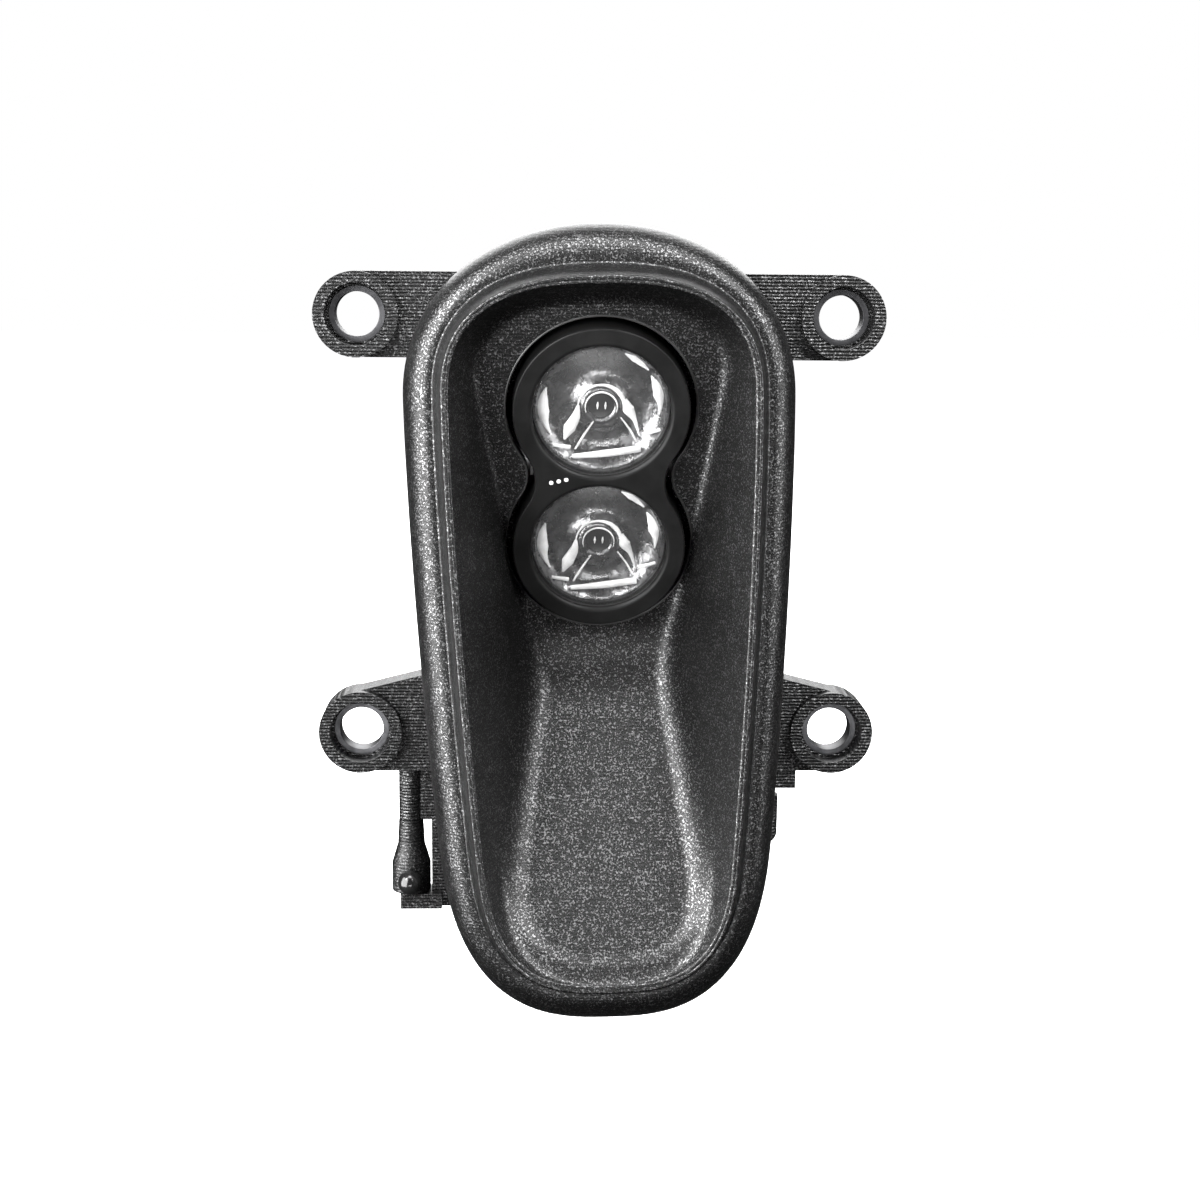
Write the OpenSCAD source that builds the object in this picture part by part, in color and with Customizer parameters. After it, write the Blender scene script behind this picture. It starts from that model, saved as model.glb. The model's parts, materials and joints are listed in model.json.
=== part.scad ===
// Pedestrian signal lamp: an aimable pod with two stacked optics, set in a scoop-shaped housing.
// Millimetres. +Z is up and the lamp looks along -Y. The origin is the centre of the four ear
// holes, on the plane that the ears are bolted against.

/* [Lip] */
// Half width of the lip at its widest
lip_half_w = 22.2; // [20:0.1:27]
// Half width of the lip where the lower end begins
lip_half_w_low = 18.9; // [15:0.1:21]
// Height at which the top end begins to round over
lip_top_z = 20; // [16:0.5:26]
// Rise of the rounded top end
lip_top_rise = 17; // [15:0.5:22]
// Height at which the lower end begins to round under
lip_low_z = -46; // [-56:0.5:-42]
// Drop of the rounded lower end
lip_low_drop = 20.7; // [18:0.1:26]
// How far the lip's front stands before the ear plane
lip_front = 22; // [20:0.5:26]
// Thickness of the lip
lip_t = 1.2; // [0.8:0.1:2]
// Depth of the groove that runs round the lip
lip_groove = 6; // [3:0.5:8]
// Lean of the scoop against the ear pattern, in degrees
scoop_lean = 1.3; // [0:0.1:2]
// Sideways shift of the scoop against the ear pattern
scoop_shift = 0.3; // [0:0.1:1]

/* [Scoop] */
// How far the flange stands out beyond the lip
flange_w = 6.6; // [6:0.1:8]
// Distance of the flange's widest line behind the lip's front
flange_back = 13; // [11:0.5:14]
// Wall of the moulding
wall = 1.8; // [1.4:0.1:2.4]
// Depth of the lamp pad behind the lip, at the pad's top edge
pad_recess = 4.5; // [3:0.5:7]
// Tilt of the pad and the lamp pod below level, in degrees
pad_tilt = 18; // [14:1:22]
// Height of the valley where the pad meets the chute
valley_z = -21; // [-24:0.5:-18]
// Steepness of the scoop's side walls, depth over width
side_steepness = 2.25; // [1.8:0.05:2.8]
// Softness of the corner between pad and chute
valley_round = 5; // [2:0.5:8]
// Softness of the corner between side wall and chute
chute_round = 7; // [3:0.5:10]

/* [Ears] */
// Hole spacing across the lamp
ear_span_x = 72; // [68:0.5:84]
// Hole spacing along the lamp
ear_span_z = 63; // [54:0.5:70]
// Diameter of the fixing hole through the sleeve
ear_hole_d = 6.6; // [5.5:0.1:7]
// Outer diameter of the ear's ring
ear_ring_d = 12.6; // [12:0.1:15]
// Thickness of the ear
ear_t = 5; // [4:0.5:6]
// Height of the ring above the ear
ear_ring_h = 1.5; // [0.5:0.1:2.5]
// Wall of the steel sleeve
sleeve_wall = 0.9; // [0.6:0.1:1.2]
// Depth of the sleeve below the ear's front
sleeve_sink = 1.5; // [1:0.1:2.5]

/* [Pod] */
// Distance between the two optics
lens_pitch = 21.8; // [21.6:0.1:24]
// Visible diameter of an optic
lens_d = 20.1; // [17:0.1:20.2]
// Outer radius of each lobe of the bezel
bezel_lobe_r = 12.9; // [12.8:0.1:14]
// Half width of the bezel's waist
bezel_waist = 9.6; // [8.6:0.1:10]
// How far the bezel stands proud of the pad
bezel_proud = 2.3; // [1:0.1:4]
// Gap between the bezel and the opening in the pad
pod_gap = 1.05; // [0.9:0.05:1.5]
// Height of the pod's middle
pod_z = 8.2; // [7:0.1:9]
// Depth of the pivot behind the pad
pivot_depth = 8; // [7:0.5:9]
// Radius of the trunnion
trunnion_r = 2; // [1.6:0.1:2.4]

/* [Rear] */
// Depth of the rear housing behind the ear plane
rear_depth = 16; // [15:0.5:24]
// Wall of the rear housing
rear_wall = 2.2; // [1.8:0.1:3]
// Thickness of the rear cover
cover_t = 2.5; // [2:0.1:4]
// Thickness of the flat seals
seal_t = 1; // [0.6:0.1:1.2]
// Bore of the cable gland's seal
cable_d = 5; // [4:0.1:5.4]

/* [Hidden] */

$fn = 48;
eps = 0.01;
cut = 1;                     // how far a cutter runs past a face
fit = 0.1;                   // clearance between pieces that slip together
run_fit = 0.05;              // radial clearance of the pivot

// Outline of the lip, as a family of curves: grow is the distance outside the lip's middle line.
side_count = 22;             // points along half of the outline's arcs and sides
half_count = 2 * side_count;
ring_count = 2 * half_count;
side_bow = 1.6;              // power that bows the sides outward
square_top = 2.6;            // squareness of the ends at the lip
square_low = 3;
square_loss = 0.075;         // the flange is rounder than the lip, by this for each mm
square_loss_low = 0.035;
square_limit = 3.4;
swell_top = 1.21;            // the flange is wider at the ends than at the sides
swell_low = 1.34;
arc_share = 0.3;             // share of the points in each end

function end_grow(grow, swell) = grow > 0 ? grow * swell : grow;
function squareness(base, loss, grow) = min(square_limit, base - loss * grow);
function half_width(z) = let (t = max(0, (lip_top_z - z) / (lip_top_z - lip_low_z)))
    lip_half_w - (lip_half_w - lip_half_w_low) * pow(t, side_bow);
function arc_z(a, rise, square) = rise * pow(sin(a), 2 / square);
function arc_w(a, square) = pow(max(0, cos(a)), 2 / square);
function half_point(i, grow) = let (u = i / half_count, st = squareness(square_top, square_loss, grow),
    sl = squareness(square_low, square_loss_low, grow))
    u < arc_share ? let (a = 90 * (1 - u / arc_share))
        [(lip_half_w + grow) * arc_w(a, st),
         lip_top_z + arc_z(a, lip_top_rise + end_grow(grow, swell_top), st)]
    : u > 1 - arc_share ? let (a = 90 * (1 - (1 - u) / arc_share),
        z = lip_low_z - arc_z(a, lip_low_drop + end_grow(grow, swell_low), sl))
        [(half_width(z) + grow) * arc_w(a, sl), z]
    : let (z = lip_top_z + (lip_low_z - lip_top_z) * (u - arc_share) / (1 - 2 * arc_share))
        [half_width(z) + grow, z];
function ring_local(i, grow) = i <= half_count ? half_point(i, grow)
    : let (p = half_point(ring_count - i, grow)) [-p.x, p.y];
function leaned(p) = [scoop_shift + p.x * cos(scoop_lean) - p.y * sin(scoop_lean),
    p.x * sin(scoop_lean) + p.y * cos(scoop_lean)];
function outline_points(grow) = [for (i = [0 : ring_count - 1]) leaned(ring_local(i, grow))];
function outline_at(side, z, grow) = leaned([side * (half_width(z) + grow), z]);

// Depth of the scoop's surface at a point, from three faces blended into each other.
lip_y = -lip_front;
lip_half = lip_t / 2;
lip_inner_top = lip_top_z + lip_top_rise - lip_half;
lip_inner_low = lip_low_z - lip_low_drop + lip_half;
pad_edge_drop = 2.4;         // the pad's top edge lies this far below the lip's inner edge
pad_top_z = lip_inner_top - pad_edge_drop;
pad_top_y = lip_y + pad_recess;
valley_y = pad_top_y + (pad_top_z - valley_z) * tan(pad_tilt);
chute_slope = (valley_y - lip_y - lip_half) / (valley_z - lip_inner_low);
side_round = 2;              // softness of the corner between side wall and pad
soft_growth = 2.5;           // the corners' softness fades toward the lip, by this much for each mm
soft_least = 0.3;            // softness left at the lip
round_from = -8;             // the side corner's softness grows between these heights
round_to = -26;
pad_wall_y = wall / cos(pad_tilt);
chute_wall_y = wall * sqrt(1 + pow(chute_slope, 2));
side_wall_y = wall * sqrt(1 + pow(side_steepness, 2));

function blend(t, a, b) = a + (b - a) * max(0, min(1, t));
function soft_min(a, b, k) = min(a, b) - pow(max(k - abs(a - b), 0), 2) / (4 * k);
function pad_y(z) = pad_top_y + (pad_top_z - z) * tan(pad_tilt);
function chute_y(z) = lip_y + lip_half + (z - lip_inner_low) * chute_slope;
function side_y(inset) = lip_y + lip_half / 2 + side_steepness * (inset - lip_half);
function side_soft(z, inset) = min(soft_growth * (inset - lip_half) + soft_least,
    blend((round_from - z) / (round_from - round_to), side_round, chute_round));
function floor_y(z, inset) = soft_min(soft_min(pad_y(z), chute_y(z), valley_round),
    side_y(inset), side_soft(z, inset));
function back_y(z, inset) = max(groove_y, soft_min(soft_min(pad_y(z) + pad_wall_y,
    chute_y(z) + chute_wall_y, valley_round), side_y(inset) + side_wall_y, side_soft(z, inset)));

// Section of the lip and flange: distance outside the lip's middle line, and depth.
joint_y = -ear_t - seal_t;   // rear face of the scoop
rim_w = flange_w - 0.7;      // the flange's rear edge is this wide
rim_in = 1.2;                // inner edge of the rim
groove_y = lip_y + lip_groove + 1;
groove_w = 1.8;
widest_y = lip_y + flange_back;
crown_turns = 6;             // rings round the flange's crown
crown_top_y = lip_y + lip_groove;
crown = [for (i = [0 : crown_turns]) let (a = 90 * i / crown_turns)
    [groove_w + 0.7 + (flange_w - groove_w - 0.7) * sin(a), widest_y - (widest_y - crown_top_y) * cos(a)]];
lip_section = [[-lip_half * 0.5, lip_y], [lip_half * 0.5, lip_y], [lip_half, lip_y + lip_half * 0.6],
    [lip_half + 0.5, lip_y + 0.55 * lip_groove], [groove_w, lip_y + lip_groove - 0.3],
    [groove_w + 0.3, crown_top_y + 0.1]];
rim_section = [[rim_w + 0.5, (widest_y + joint_y) / 2], [rim_w, joint_y], [rim_in, joint_y],
    [rim_in, groove_y]];
floor_insets = [15.5, 13.5, 11.5, 10, 8.6, 7.4, 6.4, 5.5, 4.6, 3.8, 3, 2.3, 1.6, 1, lip_half];

function ring_3d(grow, y) = [for (p = outline_points(grow)) [p.x, y, p.y]];
function floor_ring(inset, back) = [for (i = [0 : ring_count - 1])
    let (l = ring_local(i, -inset), p = leaned(l))
    [p.x, back ? back_y(l.y, inset) : floor_y(l.y, inset), p.y]];
function reversed(list) = [for (i = [len(list) - 1 : -1 : 0]) list[i]];
function scoop_rings() = concat([for (o = floor_insets) floor_ring(o, false)],
    [for (s = concat(lip_section, crown, rim_section)) ring_3d(s[0], s[1])],
    [for (o = reversed(floor_insets)) floor_ring(o, true)]);
function next(i) = (i + 1) % ring_count;
function band_faces(rings) = [for (k = [0 : rings - 2], i = [0 : ring_count - 1], half = [0, 1])
    let (a = k * ring_count, b = (k + 1) * ring_count)
    half == 0 ? [a + i, b + i, b + next(i)] : [a + i, b + next(i), a + next(i)]];
function cap_faces(base, flip) = [for (i = [0 : half_count - 1], half = [0, 1])
    if (half == 0 ? i < half_count - 1 : i > 0)
        let (right = base + i, left = base + (ring_count - i) % ring_count,
            f = half == 0 ? [right, right + 1, base + ring_count - i - 1]
                : [right, base + ring_count - i - 1, left])
        flip ? [f[2], f[1], f[0]] : f];

opening_reach = 12;          // how far the cutter of the pod's opening reaches each way

// Fasteners and their places.
screw_r = 1.25;
screw_head_r = 2;
screw_head_h = 1.6;
insert_r = 1.7;
insert_h = 5;
ledge_t = 3;
screw_grow = 3.7;            // the housing screws stand this far outside the lip's middle line
housing_screw_z = [14, -11, -52];
housing_spots = concat([for (z = housing_screw_z, s = [-1, 1]) outline_at(s, z, screw_grow)],
    [leaned([0, lip_top_z + lip_top_rise + end_grow(screw_grow, swell_top)]),
     leaned([0, lip_low_z - lip_low_drop - end_grow(screw_grow, swell_low)])]);
rear_out = 1.2;              // outside of the rear housing's wall, beyond the lip's middle line
rear_in = rear_out - rear_wall;
boss_r = 2.6;
boss_inset = 2;              // the boss centre's distance inside the rear wall
cover_screw_z = [26, -9, -51];
cover_spots = [for (z = cover_screw_z, s = [-1, 1]) outline_at(s, z, rear_in - boss_inset)];
boss_h = 9;
cover_y = rear_depth + seal_t;
cover_rear = cover_y + cover_t;

// The pod's own axes: its middle lies in the pad, X across, Y up along the pad, Z out of it.
pod_y = pad_y(pod_z);
bezel_back = -3.5;
pod_seal_t = 0.5;
body_top = bezel_back - pod_seal_t;
body_back = -13;
body_lobe_r = bezel_lobe_r - 0.7;
body_waist = bezel_waist - 0.7;
lens_flange_r = lens_d / 2 + 0.45;
lens_flange_t = 1.8;
lens_front = bezel_proud - 1;
lens_seal_t = 0.4;
lens_back = -9.2;
lens_back_r = 4.2;
lens_cone_r = 9.8;
lens_cone_top = lens_front - lens_seal_t - lens_flange_t;
well_r = 2.1;
well_h = 4.6;
pocket_r = lens_flange_r - 0.15;
board_top = -10.2;
board_t = 1;
pad_t = 0.5;
pocket_floor = board_top - board_t - pad_t;
led_size = 3.4;
led_h = 0.7;
led_dome_r = 1.2;
fin_back = -15;
fin_t = 1;
fin_step = 2.6;
fin_count = 6;
fin_length = 32;
fin_gap = 8;                 // the fins stop short of the cradle's base and the pod screws
arm_in = 10.35;
arm_t = 1.5;
arm_half = 3.2;
washer_t = 0.5;
shoulder_x = arm_in - run_fit - washer_t;
trunnion_end = arm_in + arm_t + 0.2;
base_top = -16;
base_t = 1.5;
base_half = 5;
base_bottom = base_top - base_t;
grommet_r = 2.6;
lead_r = 1.1;
lead_play = 0.6;             // room round the lead, so that the pod can turn
lead_room = 1.4;             // room round the lead in the cradle's base
pivot_screw_r = 0.9;

function pod_point(v, w) = [0, pod_y - v * sin(pad_tilt) - w * cos(pad_tilt),
    pod_z + v * cos(pad_tilt) - w * sin(pad_tilt)];

module pod_frame() translate([0, pod_y, pod_z]) rotate([90 + pad_tilt, 0, 0]) children();
module each_lens() for (s = [-1, 1]) translate([0, s * lens_pitch / 2, 0]) children();

// Two round lobes joined by a waist, with arcs that run smoothly from lobe to waist.
module eight(lobe_r, waist) {
    half = lens_pitch / 2;
    arc_r = (lobe_r * lobe_r - half * half - waist * waist) / (2 * (waist - lobe_r));
    arc_x = waist + arc_r;
    touch = half * arc_r / (lobe_r + arc_r);
    for (s = [-1, 1]) translate([0, s * half]) circle(lobe_r);
    difference() {
        square([2 * arc_x, 2 * touch], center = true);
        for (s = [-1, 1]) translate([s * arc_x, 0]) circle(arc_r);
    }
}

module slab(from, to) translate([0, 0, from]) linear_extrude(to - from) children();
module tube(r_out, r_in, from, to) slab(from, to) difference() { circle(r_out); circle(r_in); }
module along_y(from, to) translate([0, to, 0]) rotate([90, 0, 0]) linear_extrude(to - from) children();
module rod_y(r, from, to) along_y(from, to) circle(r);
module outline(grow) polygon(outline_points(grow));
module at_spots(spots) for (p = spots) translate([p.x, 0, p.y]) children();
module at_ears() for (s = [-1, 1], t = [-1, 1])
    translate([s * ear_span_x / 2, 0, t * ear_span_z / 2]) children();

// Scoop
module scoop_shell() {
    rings = scoop_rings();
    polyhedron([for (r = rings) each r],
        concat(band_faces(len(rings)), cap_faces(0, false),
            cap_faces((len(rings) - 1) * ring_count, true)));
}
module scoop_housing() color([0.16, 0.16, 0.165]) difference() {
    scoop_shell();
    pod_frame() slab(-opening_reach, opening_reach) eight(bezel_lobe_r + pod_gap, bezel_waist + pod_gap);
    at_spots(housing_spots) rod_y(insert_r, joint_y - insert_h, joint_y + cut);
}
module housing_inserts() color([0.75, 0.6, 0.3]) at_spots(housing_spots)
    along_y(joint_y - insert_h, joint_y - fit) difference() {
        circle(insert_r);
        circle(screw_r);
    }

// Rear housing, with its ears, duct and bosses
web_in = lip_half_w_low + rim_in;   // the ears' webs reach in to here
web_flat = 6;                // the upper part of a web stays level this far
low_web_rise = 2.5;          // the lower ears' webs widen upward by this toward the housing
duct_x = 28.6;
duct_y = -2.5;
duct_top_z = -34;
duct_seam_z = -46;
duct_low_z = -57.6;
duct_r = 1.8;
mouth_r = 3;
mouth_z = -52;
plug_r = 1.4;
foot_h = 2.4;
foot_d = 5;
foot_w = 6.4;
foot_x_out = 1.6;
rib_t = 2;
rib_reach = 6.5;
side_block = [4, 4.6, 4];
side_block_x = 26.9;
side_block_z = -38.7;
side_bump_r = 2;
side_bump_x = 26.4;
side_bump_z = [-48, -42];

module ear_web(side, top) {
    x = ear_span_x / 2;
    z = (top ? 1 : -1) * ear_span_z / 2;
    r = ear_ring_d / 2;
    rise = top ? 0 : low_web_rise;
    along_y(-ear_t, 0) polygon([[side * x, z - r], [side * web_in, z - r],
        [side * web_in, z + r + rise], [side * (web_in + web_flat), z + r + rise], [side * x, z + r]]);
}
module ears() {
    for (s = [-1, 1], top = [false, true]) ear_web(s, top);
    at_ears() rod_y(ear_ring_d / 2, -ear_t - ear_ring_h, 0);
}
module duct_upper() translate([-duct_x, duct_y, 0]) {
    translate([0, 0, duct_seam_z]) cylinder(r = duct_r, h = duct_top_z - duct_seam_z);
    translate([-duct_r, -rib_t / 2, duct_seam_z]) cube([rib_reach, rib_t, duct_top_z - duct_seam_z]);
    translate([-foot_x_out, -foot_d / 2, duct_low_z - foot_h]) cube([foot_w, foot_d, foot_h]);
    translate([mouth_r + 0.2, -rib_t / 2, duct_low_z - foot_h])
        cube([rib_reach - mouth_r, rib_t, duct_top_z - duct_low_z + foot_h]);
}
module side_bosses() {
    translate([side_block_x, -side_block.y, side_block_z - side_block.z / 2]) cube(side_block);
    translate([side_bump_x, -3, side_bump_z[0]])
        cylinder(r = side_bump_r, h = side_bump_z[1] - side_bump_z[0]);
    translate([side_bump_x, -3, side_bump_z[0]]) sphere(side_bump_r);
}
module rear_housing() color([0.12, 0.12, 0.125]) difference() {
    union() {
        difference() {
            union() {
                along_y(-ear_t, rear_depth) outline(rear_out);
                along_y(-ear_t, ledge_t - ear_t) outline(rim_w);
                ears();
                duct_upper();
                side_bosses();
            }
            along_y(-ear_t - cut, rear_depth + cut) outline(rear_in);
        }
        at_spots(cover_spots) rod_y(boss_r, rear_depth - boss_h, rear_depth);
    }
    at_ears() rod_y(ear_hole_d / 2 + sleeve_wall, -ear_t, cut);
    at_ears() rod_y(ear_hole_d / 2 + sleeve_wall + 0.4, -ear_t - ear_ring_h - cut, -ear_t + sleeve_sink);
    at_spots(housing_spots) rod_y(screw_r + fit, -ear_t - cut, ledge_t);
    at_spots(housing_spots) rod_y(screw_head_r + fit, ledge_t - ear_t, rear_depth);
    at_spots(cover_spots) rod_y(screw_r, rear_depth - insert_h, rear_depth + cut);
    translate([-duct_x, duct_y, duct_low_z - foot_h - cut])
        cylinder(r = plug_r, h = duct_top_z - duct_low_z);
}
module duct_sleeve() color([0.1, 0.1, 0.105]) translate([-duct_x, duct_y, 0]) rotate_extrude()
    polygon([[plug_r, duct_seam_z - fit], [duct_r + 0.1, duct_seam_z - fit], [duct_r + 0.3, mouth_z + 2],
        [mouth_r, mouth_z - 1], [mouth_r, duct_low_z + fit], [plug_r, duct_low_z + fit]]);
module duct_plug() color([0.03, 0.03, 0.03]) translate([-duct_x, duct_y - mouth_r, duct_low_z + 2.2]) {
    rotate([90, 0, 0]) cylinder(r = 1.9, h = 0.5);
    translate([0, -0.5, 0]) intersection() {
        sphere(1.9);
        translate([-2, -2, -2]) cube([4, 2, 4]);
    }
}
module housing_gasket() color([0.05, 0.05, 0.05]) difference() {
    along_y(joint_y, -ear_t) outline(rim_w - 0.3);
    along_y(joint_y - cut, -ear_t + cut) outline(rim_in);
    at_spots(housing_spots) rod_y(screw_r + fit, joint_y - cut, -ear_t + cut);
}
module screw_y(from, to) {
    rod_y(screw_r, from, to + eps);
    difference() {
        rod_y(screw_head_r, to, to + screw_head_h);
        translate([0, to + screw_head_h / 2, 0]) rotate([-90, 0, 0])
            cylinder(r = 1.1, h = screw_head_h, $fn = 6);
    }
}
module housing_screws() color([0.55, 0.55, 0.58]) at_spots(housing_spots)
    screw_y(joint_y - insert_h + 0.5, ledge_t - ear_t);
module ear_sleeves() color([0.35, 0.35, 0.36]) at_ears() along_y(-ear_t + sleeve_sink, 0) difference() {
    circle(ear_hole_d / 2 + sleeve_wall);
    circle(ear_hole_d / 2);
}

// Rear cover, with the pedestal that carries the cradle
gland_z = -57.5;
gland_r = 4;
gland_flat = 5.5;
gland_collar = 3;
gland_out = 7;
gland_in = 7;
vent_z = -24;
vent_x = -13;
vent_r = 2.5;
pedestal_x = [5.2, 11.6];    // the cradle's pedestals stand between these, on each side
foot_screw_x = (pedestal_x[0] + pedestal_x[1]) / 2;
foot_screw_r = 1;
module cradle_foot(side) difference() {
    intersection() {
        pod_frame() translate([side * (pedestal_x[0] + pedestal_x[1]) / 2, 0, base_bottom - 10])
            cube([pedestal_x[1] - pedestal_x[0], 2 * base_half, 20], center = true);
        translate([-50, -20, -50]) cube([100, 20 + cover_y + eps, 100]);
    }
    pod_frame() translate([side * foot_screw_x, 0, base_bottom - 6]) cylinder(r = foot_screw_r, h = 7);
}
module rear_cover() color([0.12, 0.12, 0.125]) {
    difference() {
        along_y(cover_y, cover_rear) outline(rear_out);
        at_spots(cover_spots) rod_y(screw_r + fit, cover_y - cut, cover_rear + cut);
        translate([0, 0, gland_z]) rod_y(gland_r, cover_y - cut, cover_rear + cut);
        translate([vent_x, 0, vent_z]) rod_y(vent_r, cover_y - cut, cover_rear + cut);
    }
    for (s = [-1, 1]) cradle_foot(s);
}
module cover_gasket() color([0.05, 0.05, 0.05]) difference() {
    along_y(rear_depth, cover_y) outline(rear_out - 0.2);
    along_y(rear_depth - cut, cover_y + cut) outline(rear_in + 0.2);
}
module cover_screws() color([0.55, 0.55, 0.58]) at_spots(cover_spots)
    screw_y(rear_depth - insert_h + 0.5, cover_rear);
module vent_plug() color([0.2, 0.2, 0.2]) translate([vent_x, 0, vent_z]) {
    rod_y(vent_r, cover_y, cover_rear + eps);
    rod_y(vent_r + 1.5, cover_rear, cover_rear + 1.4);
}
module gland_body() color([0.08, 0.08, 0.08]) translate([0, 0, gland_z]) difference() {
    union() {
        rod_y(gland_r, cover_y - gland_in, cover_rear + gland_out);
        along_y(cover_rear, cover_rear + gland_collar) circle(2 * gland_flat / sqrt(3), $fn = 6);
    }
    rod_y(cable_d / 2 + 0.3, cover_y - gland_in - cut, cover_rear + gland_out + cut);
}
module gland_nut() color([0.08, 0.08, 0.08]) translate([0, 0, gland_z])
    along_y(cover_y - 2.5, cover_y) difference() {
        circle(2 * gland_flat / sqrt(3), $fn = 6);
        circle(gland_r);
    }
module gland_seal() color([0.04, 0.04, 0.04]) translate([0, 0, gland_z])
    along_y(cover_rear + gland_out, cover_rear + gland_out + 3) difference() {
        circle(gland_r - 0.4);
        circle(cable_d / 2);
    }
module gland_cap() color([0.08, 0.08, 0.08]) translate([0, 0, gland_z]) difference() {
    union() {
        along_y(cover_rear + gland_collar + 0.4, cover_rear + gland_out + 2)
            circle(2 * gland_flat / sqrt(3), $fn = 6);
        rod_y(gland_flat - 0.2, cover_rear + gland_out + 1, cover_rear + gland_out + 4);
    }
    rod_y(gland_r, cover_rear, cover_rear + gland_out + 3);
    rod_y(cable_d / 2 + 0.3, cover_rear, cover_rear + gland_out + 4 + cut);
}

// Lamp pod
module optic_bezel() color([0.13, 0.13, 0.135]) pod_frame() difference() {
    slab(bezel_back, bezel_proud) eight(bezel_lobe_r, bezel_waist);
    each_lens() {
        slab(bezel_back - cut, lens_front) circle(lens_flange_r + fit);
        slab(lens_front - eps, bezel_proud + cut) circle(lens_d / 2);
        translate([0, 0, bezel_proud - 0.4]) cylinder(r1 = lens_d / 2, r2 = lens_d / 2 + 0.5, h = 0.5);
    }
    pod_screw_holes(screw_hole = 1);
}
module lens_body() rotate_extrude() polygon([[well_r, lens_back], [lens_back_r, lens_back],
    [lens_cone_r, lens_cone_top], [lens_flange_r, lens_cone_top],
    [lens_flange_r, lens_cone_top + lens_flange_t], [0, lens_cone_top + lens_flange_t],
    [0, lens_back + well_h], [well_r, lens_back + well_h]]);
module upper_lens() color([0.85, 0.88, 0.9, 0.5]) pod_frame()
    translate([0, lens_pitch / 2, 0]) lens_body();
module lower_lens() color([0.85, 0.88, 0.9, 0.5]) pod_frame()
    translate([0, -lens_pitch / 2, 0]) lens_body();
module lens_seals() color([0.05, 0.05, 0.05]) pod_frame() each_lens()
    tube(lens_flange_r, lens_d / 2 + 0.1, lens_front - lens_seal_t, lens_front);
holder_top = -7;
cone_slope = (lens_cone_r - lens_back_r) / (lens_cone_top - lens_back);
holder_low_r = lens_back_r + fit;
module lens_holders() color([0.9, 0.9, 0.88]) pod_frame() each_lens() rotate_extrude()
    polygon([[holder_low_r, board_top], [holder_low_r + 3.2, board_top], [holder_low_r + 3.2, holder_top],
        [holder_low_r + (holder_top - lens_back) * cone_slope, holder_top], [holder_low_r, lens_back]]);
module led(lens_side) pod_frame() translate([0, lens_side * lens_pitch / 2, board_top]) {
    translate([-led_size / 2, -led_size / 2, 0]) cube([led_size, led_size, led_h]);
    intersection() {
        translate([0, 0, led_h]) sphere(led_dome_r);
        translate([-2, -2, led_h / 2]) cube([4, 4, 3]);
    }
}
module wait_led() color([0.9, 0.3, 0.2]) led(1);
module walk_led() color([0.3, 0.9, 0.6]) led(-1);
module led_board() color([0.9, 0.9, 0.9]) pod_frame() slab(board_top - board_t, board_top)
    each_lens() circle(pocket_r - 0.3);
module thermal_pad() color([0.5, 0.55, 0.6]) pod_frame()
    slab(pocket_floor, board_top - board_t) each_lens() circle(pocket_r - 0.6);
module pod_seal() color([0.05, 0.05, 0.05]) pod_frame() difference() {
    slab(body_top, bezel_back) eight(body_lobe_r, body_waist);
    each_lens() slab(body_top - cut, bezel_back + cut) circle(lens_flange_r);
    pod_screw_holes(screw_hole = 1.1);
}
pod_screw_x = 7.4;
pod_screw_bite = 3;          // how far the pod screws run into the bezel
module pod_screw_holes(screw_hole) for (s = [-1, 1]) translate([s * pod_screw_x, 0, body_back - cut])
    cylinder(r = screw_hole, h = bezel_back + pod_screw_bite - body_back + cut);
module pod_body() color([0.55, 0.56, 0.58]) pod_frame() difference() {
    union() {
        slab(body_back, body_top) eight(body_lobe_r, body_waist);
        for (i = [0 : fin_count - 1]) translate([(i - (fin_count - 1) / 2) * fin_step, 0, 0])
            slab(fin_back, body_back + eps) difference() {
                square([fin_t, fin_length], center = true);
                square([2 * fin_t, fin_gap], center = true);
            }
        for (s = [-1, 1]) translate([s * 8, 0, -pivot_depth]) rotate([0, s * 90, 0]) {
            cylinder(r = arm_half, h = shoulder_x - 8);
            cylinder(r = trunnion_r, h = trunnion_end - 8);
        }
    }
    each_lens() slab(pocket_floor, body_top + cut) circle(pocket_r);
    pod_screw_holes(screw_hole = 1);
    slab(fin_back - cut, pocket_floor + cut) circle(grommet_r);
    for (s = [-1, 1]) translate([s * (trunnion_end - 3), 0, -pivot_depth]) rotate([0, s * 90, 0])
        cylinder(r = pivot_screw_r, h = 4);
}
module pod_screws() color([0.55, 0.55, 0.58]) pod_frame() for (s = [-1, 1])
    translate([s * pod_screw_x, 0, 0]) {
        slab(body_back - eps, bezel_back + pod_screw_bite) circle(1);
        slab(body_back - 1.2, body_back) circle(1.6);
    }
module pod_grommet() color([0.05, 0.05, 0.05]) pod_frame() difference() {
    slab(body_back, pocket_floor) circle(grommet_r);
    slab(body_back - cut, pocket_floor + cut) circle(lead_r + lead_play);
}

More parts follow.
